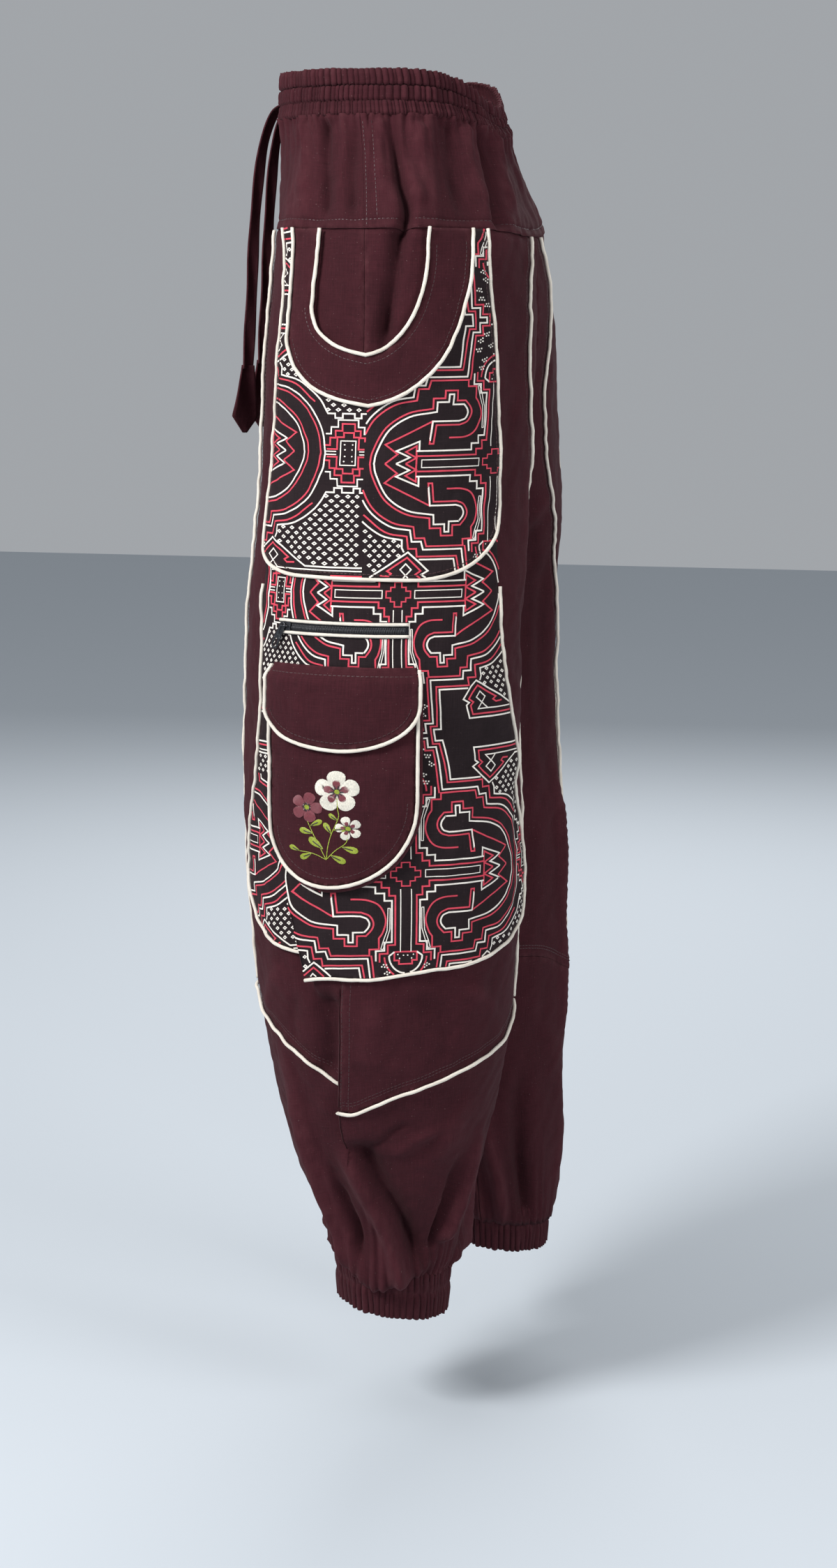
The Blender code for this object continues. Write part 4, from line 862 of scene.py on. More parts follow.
def yoke_height(leg, ring, u, v):
    """Gathers that fade down the yoke, on top of the main folds."""
    total = drape(leg, u, v) + gathers(ring, BAND_BOTTOM - v, 0.0062, 0.0042, 0.015, 5, WAIST)
    total += gathers(ring, BAND_BOTTOM - v, 0.0150, 0.0034, 0.036, 6, WAIST)
    seam = np.exp(-((v - YOKE_BOTTOM) / 0.0035) ** 2)
    total = total - 0.0009 * np.exp(-((v - TOPSTITCH) / 0.0014) ** 2) + 0.0006 * seam
    inside = ease((v - BAND_BOTTOM + 0.0006) / 0.0022)
    total = total * (1.0 - inside) - 0.0020 * inside
    # the third value is the fold height for the cotton's painted shade in troughs and painted highlight on
    # ridges
    return total, v, np.clip(total / 0.005, -1.0, 1.0)


near_seam = np.array([0.0022, 0.0010, 0.0, -0.0010, -0.0022, -0.0040])
rows = np.concatenate([[BAND_BOTTOM + 0.0040, BAND_BOTTOM + 0.0016],
                       np.linspace(BAND_BOTTOM - 0.0006, TOPSTITCH + 0.0040, 33),
                       TOPSTITCH + near_seam, [YOKE_BOTTOM + 0.0002]])
for name, end in (("yoke_front", -1.0), ("yoke_back", 1.0)):
    piece = ring_piece(name + "_cloth", 0.0, end, 122, rows, yoke_height, False)
    if end < 0.0:
        piece.data.flip_normals()
    wall(piece)
    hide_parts(name)

# ---- Waistband -------------------------------------------------------------------------------
# A tube of the cotton over wide elastic. Rows of stitching through both shirr it into close
# vertical ribs, finer in the lowest row. Its upper edge is ruffled, its lower one turned in.
SHIRR_ROWS = (-0.0118, -0.0240)


def band_height(leg, ring, u, v):
    """Ribs between the shirring rows; the rows pull the cloth in."""
    ribs = puckers(ring + 0.0012 * np.sin(v * 210.0), 0.0054, 31, WAIST)
    middle = puckers(ring + 0.0009 * np.sin(v * 170.0), 0.0052, 32, WAIST)
    fine = puckers(ring + 0.0012, 0.0036, 33, WAIST)
    upper, lower = ease((v + 0.0138) / 0.0040), ease((-0.0222 - v) / 0.0036)
    ribs = ribs * upper + middle * (1.0 - upper) * (1.0 - lower) + 0.85 * fine * lower
    pinch = np.minimum(sum(np.exp(-((v - row) / 0.0011) ** 2) for row in SHIRR_ROWS), 1.0)
    height = 0.0040 * ribs * (1.0 - 0.52 * pinch) + 0.0008 * (1.0 - pinch)
    height += 0.0010 * np.exp(-((v + 0.0325) / 0.0022) ** 2)
    height = height - 0.0012 * ease((v + 0.0030) / 0.0030)
    under = ease((-0.0343 - v) / 0.0014)
    height = height * (1.0 - under) - 0.0024 * under
    level = v + 0.0016 * ribs * ease((v + 0.0040) / 0.0040)
    # the third value is painted shade: darker in the valleys between ribs and along the shirring rows,
    # lighter on the rib crowns
    return height, level, np.clip(2.1 * ribs - 1.35 - 0.4 * pinch, -1.0, 1.0)


rows = np.concatenate([np.linspace(0.0004, -0.0342, 31), [-0.0350, -0.0358]])
piece = ring_piece("waistband_cloth", -1.0, 1.0, 430, rows, band_height, True)
wall(piece, 0.0014)
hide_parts("waistband")

# ---- Drawstring ------------------------------------------------------------------------------
# Two flat ties of the folded cotton come out of the front of the waistband and hang down. Each
# ends in a wide flared tip with a point. They are limp and slightly creased.
TIE_WIDTH = 0.0105
TIES = {
    "left": [(0.0110, -.1121, -.0210), (0.014, -.1210, -.0290), (0.018, -.1285, -.0520),
             (0.022, -.1335, -.0900), (0.025, -.1365, -.1350), (0.026, -.1385, -.1800),
             (0.027, -.1400, -.2080), (0.027, -.1420, -.2400)],
    "right": [(-.0110, -.1121, -.0210), (-.013, -.1205, -.0290), (-.015, -.1275, -.0520),
              (-.016, -.1325, -.0900), (-.016, -.1355, -.1350), (-.015, -.1375, -.1800),
              (-.014, -.1390, -.2080), (-.013, -.1400, -.2370)],
}


def tie_mesh(name, line, widths, facing, ripple):
    """A flat strip along a line of points, creased down its middle."""
    columns = 9
    way = unit(np.gradient(line, axis=0))
    across = unit(facing - way * (facing * way).sum(axis=1)[:, None])
    out = np.cross(way, across)
    length = run_of(line)
    points, places = [], []
    for j in range(columns):
        side = 2.0 * j / (columns - 1) - 1.0
        lift = 0.0009 * (1.0 - side * side) + ripple * 0.0010 * np.sin(length * 95.0 + 2.2 * side)
        points.append(line + across * (0.5 * widths * side)[:, None] + out * lift[:, None])
        places.append(np.stack([length, 0.5 * widths * side], axis=1))
    points, places = np.stack(points, axis=1), np.stack(places, axis=1)
    faces = tube_faces(len(line), columns, False)
    piece = new_piece(name, points.reshape(-1, 3), faces, brown, flat=places.reshape(-1, 2)[:, ::-1],
                      edge=np.tile(np.abs(np.linspace(-1, 1, columns)) ** 3, len(line)),
                      fold=np.zeros(len(line) * columns))
    solid = wall(piece, 0.0014).modifiers["thickness"]
    solid.offset = 0.0
    return piece


for side, path in TIES.items():
    line = bend(path, 10)
    share = np.linspace(0.0, 1.0, len(line))[:, None]
    start = np.array([0.97, 0.24 if side == "right" else -0.24, 0.0])
    facing = start * (1.0 - ease(share * 4.0)) + np.array([0.80, -0.60, 0.0]) * ease(share * 4.0)
    facing = facing + np.array([0.0, 0.30, 0.0]) * np.sin(share * 6.0) * 0.5
    strap = tie_mesh("tie_" + side, line, np.full(len(line), TIE_WIDTH), facing, 0.6)
    last = unit(line[-1] - line[-2])
    reach = np.linspace(-0.003, 0.054, 26)
    tip_line = line[-1] + last * reach[:, None]
    widths = np.interp(reach, [-.003, .002, .006, .040, .054], [.0112, .0125, .0145, .0280, .0030])
    tip = tie_mesh("tie_%s_end" % side, tip_line, widths, np.repeat(facing[-1:], len(reach), axis=0), 1.0)
    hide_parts("drawstring_" + side)
    length = float(np.linalg.norm(np.diff(line, axis=0), axis=1).sum())
    tuple(line[0])

# ---- Piped seams -----------------------------------------------------------------------------
# Cotton cord in a cream bias cover, caught in the seams: down the front and back of each leg and
# between them along the knee seam's outer side. It stands proud of the cloth as a round bead.
cream, start = new_finish("cream_piping_cotton", 0.72, Sheen_Weight=0.12, Specular_IOR_Level=0.25)
place = start.attribute("flat")
soil = place.noise(4.0, 60.0, 60.0)
twill = place.wave("DIAGONAL", Scale=420.0, Distortion=1.5, Detail=1.0)
base = soil.range(0.25, 0.85).mix(rgb(0.86, 0.80, 0.70), rgb(0.62, 0.55, 0.47))
base = (twill * 0.16).mix(base, rgb(0.50, 0.44, 0.38))
link(cream, Base_Color=base, Normal=(twill + soil).bump(0.35, 0.0003))

PIPING_RADIUS = 0.0015
BESIDE = PIPING_RADIUS + 0.0002       # from a piece's edge to the middle of the piping round it


def bead(leg, line, height, radius=PIPING_RADIUS, sides=8, step=0.003, cut=None, side=None):
    """Points, faces and flat places of a round tube along a line on the leg."""
    line = dense(line, step)
    u, v = line.T
    height = heights(height, line)
    folds = drape(leg, u, v)
    middle = worn(leg, u, v, height, cut, side, folds)
    above = unit(worn(leg, u, v, height + 0.001, cut, side, folds) - middle)
    across = unit(np.cross(np.gradient(middle, axis=0), above))
    length = run_of(middle)
    thick = radius * (1.0 + 0.035 * np.sin(length * 1450.0) + 0.03 * np.sin(length * 210.0))
    turns = [2.0 * math.pi * k / sides for k in range(sides)]
    rings = np.stack([middle + (above * math.cos(t) + across * math.sin(t)) * thick[:, None]
                      for t in turns], axis=1)
    places = np.stack([np.stack([length, np.full(len(u), radius * t)], axis=1) for t in turns], axis=1)
    faces = [(a, d, c, b) for a, b, c, d in tube_faces(len(u), sides, True)]
    faces += [tuple(range(sides))[::-1], tuple((len(u) - 1) * sides + k for k in range(sides))]
    return rings.reshape(-1, 3), faces, places.reshape(-1, 2)


def joined(parts):
    """Several sets of points, faces and flat places as one."""
    points, faces, places = [], [], []
    for p, f, q in parts:
        start_at = sum(len(x) for x in points)
        points.append(p)
        faces += [tuple(i + start_at for i in face) for face in f]
        places.append(q)
    return np.concatenate(points), faces, np.concatenate(places)


def piping(node, parts):
    """One or more beads as the piece that stands for a piping."""
    points, faces, places = joined(parts)
    piece = new_piece(node + "_cord", points, faces, cream, flat=places)
    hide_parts(node)
    return piece


def on_layer(layer):
    """Height of a piping's middle when it lies on a layer of cloth."""
    return LAYER * layer + 0.0012 + PIPING_RADIUS + (0.0005 if layer else 0.0004)


def piping_over(node, lap, line, k, split, height):
    """A piping that crosses a lap: a bead up to the lap's edge, and one from there on top of it."""
    split = np.array([[lap_place(LAPS[lap], split[1:])[0][0], split[1]]])
    halves = np.concatenate([line[:k], split]), np.concatenate([split, line[k:]])
    piping(node, [bead("left", half, height, cut=lap, side=side) for side, half in enumerate(halves)])


for leg in LEGS:
    for end, name in enumerate(("front_piping_", "back_piping_")):
        piping(name + leg, [bead(leg, long_seam(leg, end, YOKE_BOTTOM - 0.001, 0.003), on_layer(0))])
    ring = hem_line(*SEAM_ENDS[leg])
    if leg == "right":
        piping("knee_piping_right", [bead(leg, ring, on_layer(0))])
    else:
        k = np.count_nonzero(ring[:, 0] < lap_place(LAPS["knee"], ring[:, 1])[0])
        piping_over("knee_piping_left", "knee", ring, k, 0.5 * (ring[k - 1] + ring[k]), on_layer(0))

# ---- Printed side panels ---------------------------------------------------------------------
# A panel of near-black cotton, screen printed with crimson and cream lines, lies on the outer side
# of each leg from under the hip pocket to above the knee, with piping round its edge.
SIDE_PANEL = [
    # z       front  back_left back_right
    (-.3450, -49.0, 62.0, 62.0), (-.4300, -48.0, 64.5, 64.0), (-.4800, -47.0, 69.0, 65.0),
    (-.5200, -48.0, 75.5, 67.0), (-.5600, -52.0, 84.0, 69.0), (-.6000, -59.0, 92.0, 71.0),
    (-.6450, -65.0, 96.0, 73.0),
]
printed = cotton("printed_cotton_ground", rgb(0.0165, 0.0105, 0.0120), rgb(0.050, 0.034, 0.036), lint=0.6)


def ink(name, colour, faded):
    """Pigment printed on the weave: matt, slightly uneven, thinner on the yarns' crowns."""
    finish, start = new_finish(name, 0.80, Specular_IOR_Level=0.2, Sheen_Weight=0.06)
    place = start.attribute("flat")
    patch = place.noise(3.0, 240.0, 240.0)
    yarn = place.noise(1.0, 1300.0, 900.0)
    base = (patch.range(0.3, 0.8) * 0.6).mix(colour, faded)
    base = (yarn.range(0.60, 0.78) * 0.45).mix(base, times(faded, 0.55))
    return link(finish, Base_Color=base, Normal=yarn.bump(0.3, 0.0002))


inks = {"crimson": ink("crimson_ink", rgb(0.640, 0.060, 0.095), rgb(0.46, 0.050, 0.075)),
        "cream": ink("cream_ink", rgb(0.82, 0.77, 0.70), rgb(0.66, 0.60, 0.54))}


def bow(*points):
    return bend(points, 5).tolist()


def half_disc(wide, high, first):
    """A quarter of the half disc over the stem's foot, from its side to its top."""
    return [(wide * math.cos(t), 66 + high * math.sin(t)) for t in np.linspace(first, 1.571, 9)]


# One quarter of the repeat in millimetres: x from a stem's axis to the axis between two spears that
# face each other, y from a spear's axis to the line half way to the next one. It is mirrored both ways.
REPEAT = (252.0, 223.0)
INK_WIDTH = 0.90          # share of the charted line widths
lobe = ([(88, 0), (79, 7.5), (88, 15), (54, 33), (55.5, 15.5), (52.5, 15.5), (51, 30)]
        + bow((33, 30), (27, 32.5), (24, 38), (25, 43.5), (29.5, 49))
        + [(36, 49), (36, 57), (45.5, 57), (45.5, 51), (54, 51)]
        + bow((54, 43), (72, 39.5), (88, 28), (97, 10), (99, 0)))
rim_line = (bow((41, 20), (28, 20.5), (19.5, 25), (15, 36), (17, 46), (20, 51))
            + [(20, 60), (27, 60), (27, 65), (56.5, 65), (58, 58.5), (65, 58.5)]
            + bow((66, 49.6), (82, 46), (97, 34), (106, 14), (108, 0)))
CHART = [
    # colour, width, line
    ("crimson", 1.4, lobe),
    ("cream", 1.4, beside(lobe[4:], -3.0).tolist()),
    ("crimson", 1.4, rim_line),
    ("cream", 1.4, [(11.8, 112), (11.8, 109.4), (18, 109.4), (18, 102), (24.5, 102), (28.3, 67.6),
     (59, 67.6), (60.5, 61.2), (67.4, 61.2)] + bow((68.6, 52.2), (84, 48.8), (99.5, 36), (109, 15),
     (111, 0))),
    ("crimson", 1.4, [(9.5, 112), (9.5, 107), (15.5, 107), (15.5, 99.5), (22, 99.5), (25.6, 65)]),
    ("crimson", 1.4, [(22, 112), (22, 104.5), (27.5, 104.5), (32.6, 73), (63.6, 73), (64, 66.8),
     (70, 66.8)] + bow((71, 57), (87, 53.5), (103, 40))),
    ("cream", 1.4, [(24.5, 112), (24.5, 107), (30.5, 107), (35, 75.3), (62, 75.3)]),
    # spear: shaft, head and the steps beside the stem
    ("crimson", 1.4, [(65, 6), (18, 6), (18, 10.5), (12.5, 10.5), (12.5, 17), (8, 17), (8, 57),
     (13.5, 57), (13.5, 64), (19.5, 64), (19.5, 71)]),
    ("cream", 1.4, [(65, 10), (22.5, 10), (22.5, 15), (16, 15), (16, 21), (10.5, 21), (10.5, 54.5),
     (16, 54.5), (16, 61.5), (22.3, 61.5), (22.3, 70)]),
    ("cream", 0.8, [(15, 0), (15, 3), (61, 3), (61, 0)]),
    ("crimson", 1.4, [(73, 0), (65, 4.7), (73, 9.3), (65, 14), (65, 0)]),
    ("cream", 1.4, [(80, 0), (70, 5), (80, 10), (63, 17.5), (63, 10)]),
    ("cream", 0.8, [(4, 12), (4, 63)]),
    ("crimson", 1.1, [(0, 9.5), (3.2, 9.5), (3.2, 5.6), (7.0, 5.6), (7.0, 2.6), (11.2, 2.6),
     (11.2, 0)]),
    ("cream", 0.7, [(11.8, 27), (12.0, 44), (15, 55), (17.2, 60.5), (18.6, 60), (17, 54), (14, 45),
     (13.6, 36), (13.4, 27), (11.8, 27)]),
    # foot of the stem: a small barred box in a half disc
    ("crimson", 1.4, [(0, 63), (8.5, 63), (8.5, 70), (5, 70), (5, 73), (0, 73)]),
    ("cream", 1.4, half_disc(12.5, 14.5, 0.0)),
    ("crimson", 1.4, half_disc(16, 18.5, 0.05)),
    ("cream", 1.4, [(12.5, 66), (8.5, 63)]),
    # five-sided figure with its small crossed loop
    ("cream", 1.4, [(126, 99.5), (57, 99.5), (57, 89), (60, 87), (55, 84), (70, 69.5), (99, 90),
     (126, 90)]),
    ("crimson", 1.4, [(126, 96.6), (61, 96.6), (61, 89.5), (64.3, 86.8), (60.5, 84), (70.5, 73.6),
     (85, 84), (82, 86), (84, 88), (90, 87.5)]),
    ("cream", 1.1, [(126, 92.6), (67, 92.6), (75.5, 83), (71.5, 78.5), (67.5, 83), (76, 92.6)]),
    ("cream", 1.4, [(73, 69.5), (74.6, 66), (74.6, 59.8)] + bow((74.6, 59.8), (90, 56), (105, 44),
     (112, 31)) + [(117, 31), (117, 27.5), (122, 27.5), (122, 31), (126, 31)]),
    # nested stepped lozenge between two facing spears
    ("crimson", 1.4, [(126, 23), (121.8, 23), (121.8, 17.5), (117.5, 17.5), (117.5, 12), (114, 12),
     (114, 6), (110.5, 6)]),
    ("cream", 1.2, [(126, 26), (119.2, 26), (119.2, 20.4), (114.6, 20.4), (114.6, 15), (111, 15)]),
    ("crimson", 1.4, [(126, 16), (122.6, 16), (122.6, 12.5), (118.6, 12.5), (118.6, 3), (112, 3)]),
    ("cream", 0.9, [(120.8, 0), (120.8, 9.6), (126, 9.6)]),
    ("cream", 0.9, [(111, 1.2), (118, 1.2)]),
]
LATTICE = np.array([(126.1, 33), (111, 33), (105.5, 45), (90.5, 58), (76.5, 61.5), (76.5, 68), (74.8, 70.5),
                    (100, 88), (126.1, 88)])
CLUSTERS = [(3, 84), (9, 90), (4, 97), (14, 79), (13, 99), (20, 87), (7, 106), (18, 94), (16.5, 73)]
BOX_DOTS = [(1.6, 66), (4.6, 68.4), (123.6, 2.6), (123.2, 6.6), (5.9, 65.2)]
DIAMOND = [(1.95, 0), (0, 1.65), (-1.95, 0), (0, -1.65)]
FIVE_DOTS = [(0, 0), (2.1, 0), (1.0, 1.9), (-1.1, 1.8), (0.2, 3.8)]


def dot(x, y, radius):
    """Six corners round a place of the chart."""
    return [(x + radius * math.cos(k), y + radius * math.sin(k))
            for k in (0.0, 1.05, 2.09, 3.14, 4.19, 5.24)]


def print_shapes(spread, keep):
    """The repeat's lines and small shapes over a panel, as (colour, width, line) and flat polygons."""
    lines, shapes = [], []
    diamonds = [(126.0 - 7.0 * i - 3.5 * (j % 2), 34.0 + 3.8 * j) for i in range(8) for j in range(20)]
    diamonds = [d for d, ok in zip(diamonds, within(LATTICE, np.array(diamonds))) if ok]
    pick = np.random.default_rng(3)
    for i, j, sx, sy in itertools.product((-1, 0, 1), (-2, -1, 0, 1, 2), (-1, 1), (-1, 1)):
        def put(points):
            return spread(np.array(points, float) * (sx, sy) + (REPEAT[0] * i, REPEAT[1] * j))

        border = dense(put([(0, 0), (126, 0), (126, 111), (0, 111)]), 0.01, True)
        spots = put([(x, y) for x in range(5, 126, 12) for y in range(5, 111, 12)])
        if not keep(np.concatenate([border, spots])).any():
            continue
        lines += [(colour, width * 0.001 * INK_WIDTH, put(dense(line, 8.0)))
                  for colour, width, line in CHART]
        shapes += [("diamond", put([(x + a, y + b) for a, b in DIAMOND]))
                   for x, y in diamonds if x < 125.9 or sx > 0]
        for x, y in CLUSTERS:
            turn = pick.uniform(0.3, 1.2)
            c, s = math.cos(turn), math.sin(turn)
            shapes += [("dot", put(dot(x + a * c - b * s, y + a * s + b * c, 0.72))) for a, b in FIVE_DOTS]
        shapes += [("dot", put(dot(x, y, 0.6))) for x, y in BOX_DOTS]
    return lines, [(kind, ring) for kind, ring in shapes if keep(ring).all()]


def clipped(lines, keep):
    """The stretches of lines that lie where keep is true, cut at its edge."""
    runs = [(colour, width, dense(line, 0.0018)) for colour, width, line in lines]
    flags = keep(np.concatenate([run[2] for run in runs]))
    result, cuts, at = [], [], 0
    for colour, width, line in runs:
        flag = flags[at:at + len(line)]
        at += len(line)
        change = np.flatnonzero(np.diff(np.concatenate([[False], flag, [False]]).astype(int)))
        for first, last in zip(change[::2], change[1::2]):
            result.append([colour, width, line[first:last]])
            if first > 0:
                cuts.append((len(result) - 1, 0, line[first], line[first - 1]))
            if last < len(line):
                cuts.append((len(result) - 1, 1, line[last - 1], line[last]))
    if cuts:
        good, bad = (np.array([c[k] for c in cuts]) for k in (2, 3))
        for _ in range(7):
            half = 0.5 * (good + bad)
            ok = keep(half)[:, None]
            good, bad = np.where(ok, half, good), np.where(ok, bad, half)
        for (index, end, *_), place in zip(cuts, good):
            line = result[index][2]
            result[index][2] = np.concatenate([[place], line] if end == 0 else [line, [place]])
    return [run for run in result if len(run[2]) > 1 and run_of(run[2])[-1] > 0.0008]


def even(stem, spear_z, front=1.0):
    """Chart to flat places, with the cloth's grain let out a little before the figure."""
    def spread(at):
        x = np.where(at[:, 0] < -126.0, -126.0 + (at[:, 0] + 126.0) * front, at[:, 0])
        return np.column_stack([x * 0.001 + stem, at[:, 1] * 0.001 + spear_z])
    return spread


def print_on(name, leg, spread, keep, height, cut=None):
    """The printed lines and shapes over a panel as thin films that lie on the cloth."""
    lines, shapes = print_shapes(spread, keep)
    films = {colour: ([], []) for colour in inks}

    def add(colour, rings, faces):
        places, made = films[colour]
        start_at = sum(len(p) for p in places)
        places.extend(rings)
        made.extend([start_at + i for i in face] for face in faces)

    for colour, width, line in clipped(lines, keep):
        line = line[np.concatenate([[True], np.linalg.norm(np.diff(line, axis=0), axis=1) > 1e-6])]
        n = len(line)
        if n > 1:
            add(colour, [beside(line, 0.5 * width), beside(line, -0.5 * width)],
                [(i, n + i, n + i + 1, i + 1) for i in range(n - 1)])
    for kind, ring in shapes:
        n, middle = len(ring), ring.mean(axis=0)
        if kind == "dot":
            add("cream", [ring], [range(n)])
        else:
            add("cream", [ring, middle + (ring - middle) * 0.34],
                [(i, (i + 1) % n, n + (i + 1) % n, n + i) for i in range(n)])
    for colour, (places, faces) in films.items():
        places = np.concatenate(places)
        side = None
        if cut:
            middles = np.array([places[face].mean(axis=0) for face in faces])
            side = np.zeros(len(places))
            for face, behind in zip(faces, middles[:, 0] > lap_place(LAPS[cut], middles[:, 1])[0]):
                side[face] = behind
        for face in faces:     # each face is turned to look out of the leg
            a, b, c = places[face[:3]]
            if ((b[0] - a[0]) * (c[1] - a[1]) - (b[1] - a[1]) * (c[0] - a[0]) > 0.0) != (leg == "left"):
                face.reverse()
        points = worn(leg, *places.T, height + (0.00004 if colour == "cream" else 0.0), cut, side)
        piece = new_piece("%s_%s_print" % (name, colour), points, faces, inks[colour], flat=places)


def round_corner(start_at, foot, steps=14):
    """Quarter of an ellipse from a side edge to the bottom edge, given as (angle, z)."""
    turns = np.linspace(0.0, 0.5 * math.pi, steps)
    return np.array([flat(foot[0] + (start_at[0] - foot[0]) * math.cos(t),
                          start_at[1] + (foot[1] - start_at[1]) * math.sin(t)) for t in turns])


def keep_side(outline, line_at, sign):
    """A test for flat places inside an outline and on one side of a line."""
    def keep(places):
        return within(outline, places) & (sign * (places[:, 0] - line_at(places[:, 1])) > 0.0)
    return keep


PRINT_RISE = CLOTH + 0.00022          # the ink lies just clear of its cloth


def panel_edge(v):
    """The lap's edge; above it the cloth's join lies under the pocket, then runs out forward."""
    join = lap_place(LAPS["panel"], v)[0] + 0.012 * ease((v + .615) / 0.02)
    return join - 0.080 * ease((v + .566) / 0.010)


def panel_spread(at):
    """The left panel is drawn in towards the zip, and let out over the back of the leg."""
    chart = (-252, -126, 0, 65, 88, 126, 252)
    low = np.interp(at[:, 0], chart, (-252, -126, 0, 65, 93, 137, 290))
    high = np.interp(at[:, 0], chart, (-200, -97, 0, 53.3, 79, 118, 235))
    v = at[:, 1] * 0.001 - .633
    share = ease((v + .550) / 0.100)
    return np.column_stack([(low + (high - low) * share + 37.5 - 7.4 * share) * 0.001, v])


for leg in LEGS:
    column = BACK_COLUMN[leg]
    low = SIDE_PANEL[-1][0]
    front_corner = round_corner((SIDE_PANEL[-1][1], low), (-10.0, -.7150))
    back_corner = round_corner((SIDE_PANEL[-1][column], low - 0.014), (30.0, -.7110))
    foot = bend([*front_corner[-2:], flat(6.0, -.7165), *back_corner[:-3:-1]], 5)
    outline = np.concatenate([table_edge(SIDE_PANEL, 1, -.345, low), front_corner[1:-2], foot,
                              back_corner[:-2][::-1], table_edge(SIDE_PANEL, column, -.345, low)[::-1]])
    lap = "panel" if leg == "left" else None
    piece = cut_cloth("side_panel_" + leg, leg, outline, printed, LAYER,
                      0.0031 if leg == "left" else 0.0046, cut=lap)
    line = beside(outline, -BESIDE)
    below = np.flatnonzero(line[:, 1] < -.3985)
    line = line[below[0]:below[-1] + 1]
    height = on_layer(0) + 0.0006
    if leg == "left":
        print_on("side_panel_left_front", leg, even(.0935, -.617), keep_side(outline, panel_edge, -1),
                 LAYER + PRINT_RISE, lap)
        print_on("side_panel_left_back", leg, panel_spread, keep_side(outline, panel_edge, 1),
                 LAYER + PRINT_RISE, lap)
        edge = lap_place(LAPS["panel"], line[:, 1])[0]
        k = np.argmax((line[:, 0] > edge) & (np.arange(len(line)) > len(line) * 0.2))
        piping_over("side_panel_piping_left", lap, line, k, line[k], height)
    else:
        print_on("side_panel_right", leg, even(around(-4.0), -.5600),
                 lambda places: within(outline, places), LAYER + PRINT_RISE)
        piping("side_panel_piping_right", [bead(leg, line, height)])

# ---- Hip pockets -----------------------------------------------------------------------------
# A printed pocket lies on each hip, in two halves joined down its middle. Its scooped mouth is
# bound with a wide U of the brown cotton, piped along both edges; the bag behind is flat and closed.
HIP_POCKET = [(-.1245, -41.5, 50.5), (-.1650, -41.0, 52.0), (-.2000, -41.0, 54.5), (-.2400, -43.0, 57.0),
              (-.3000, -47.0, 60.5), (-.3520, -48.7, 61.7)]


POCKET_TOP = YOKE_BOTTOM - 0.0003


def mouth_curve(front_top, front_start, foot, back_start, back_top):
    """A pocket mouth between angles at the pocket's top, round its foot."""
    front = np.concatenate([[flat(front_top, POCKET_TOP)], round_corner(front_start, foot)])
    back = np.concatenate([[flat(back_top, POCKET_TOP)], round_corner(back_start, foot)])
    line = np.concatenate([front, back[-2::-1]])
    point = np.abs(line[:, 0] - around(foot[0]))
    line[:, 1] -= 0.0022 * np.exp(-point / 0.010)
    return line


POCKET_CORNER = round_corner((61.7, -.3520), (20.0, -.3980))[::-1]
MOUTH_OUTER = mouth_curve(-34.5, (-35.0, -.2110), (3.0, -.2605), (44.6, -.1320), 44.8)
MOUTH_INNER = mouth_curve(-21.0, (-23.8, -.1860), (1.5, -.2225), (26.8, -.1350), 27.2)


def pocket_rim(corner):
    """A hip pocket's edge down its front, round its foot by way of its back corner, and up its back."""
    front, back = (table_edge(HIP_POCKET, column, POCKET_TOP, -.352) for column in (1, 2))
    return np.concatenate([front, round_corner((-49.0, -.3780), (-25.0, -.3962)), corner, back[::-1]])


def pocket_seam(v):
    """The seam between a pocket's halves."""
    return around(2.6) + 0.0020 * np.sin((v + 0.26) * 18.0)


for leg in LEGS:
    edge = pocket_rim(POCKET_CORNER[1:-1])
    outline = np.concatenate([edge, MOUTH_OUTER[::-1]])
    spacing = 0.0030 if leg == "left" else 0.0042
    piece = cut_cloth("hip_pocket_" + leg, leg, outline, printed, 2 * LAYER, spacing)
    for half, sign, spread in (("front", -1, even(.1177, -.3000, 1.25)), ("back", 1, even(.1066, -.3080))):
        print_on("hip_pocket_%s_%s" % (leg, half), leg, spread, keep_side(outline, pocket_seam, sign),
                 2 * LAYER + PRINT_RISE)
    cut_cloth("pocket_mouth_" + leg, leg, np.concatenate([MOUTH_OUTER, MOUTH_INNER[::-1]]), brown,
              2 * LAYER, spacing)
    piping("hip_pocket_piping_" + leg, [bead(leg, beside(edge, -BESIDE), on_layer(1))])
    piping("mouth_outer_piping_" + leg, [bead(leg, MOUTH_OUTER, on_layer(2) - 0.0004)])
    piping("mouth_inner_piping_" + leg, [bead(leg, beside(MOUTH_INNER, BESIDE), on_layer(1) + 0.0008)])

# ---- Zip -------------------------------------------------------------------------------------
# A black coil zip set level in the left side panel between two piped lips: woven tape, interlocked
# nylon teeth, and an enamelled zinc slider with a bail that carries the pull tab.
ZIP_Z, ZIP_FRONT, ZIP_BACK = -0.4380, -35.0, 21.0
SLIDER_ANGLE = -31.5

tape_finish, start = new_finish("zip_tape_weave", 0.82, Specular_IOR_Level=0.2)
rib = start.attribute("flat").wave("X", Scale=350.0, Distortion=0.6)
link(tape_finish, Base_Color=rib.mix(rgb(0.006, 0.006, 0.008), rgb(0.022, 0.022, 0.027)),
     Normal=rib.bump(0.5, 0.0003))
strip = [flat(a, ZIP_Z - 0.0066) for a in np.linspace(ZIP_FRONT, ZIP_BACK, 20)]
strip += [flat(a, ZIP_Z + 0.0066) for a in np.linspace(ZIP_BACK, ZIP_FRONT, 20)]
piece = cut_cloth("zip_tape", "left", strip, tape_finish, LAYER + CLOTH + 0.0003, 0.0018,
                  thickness=0.0004)

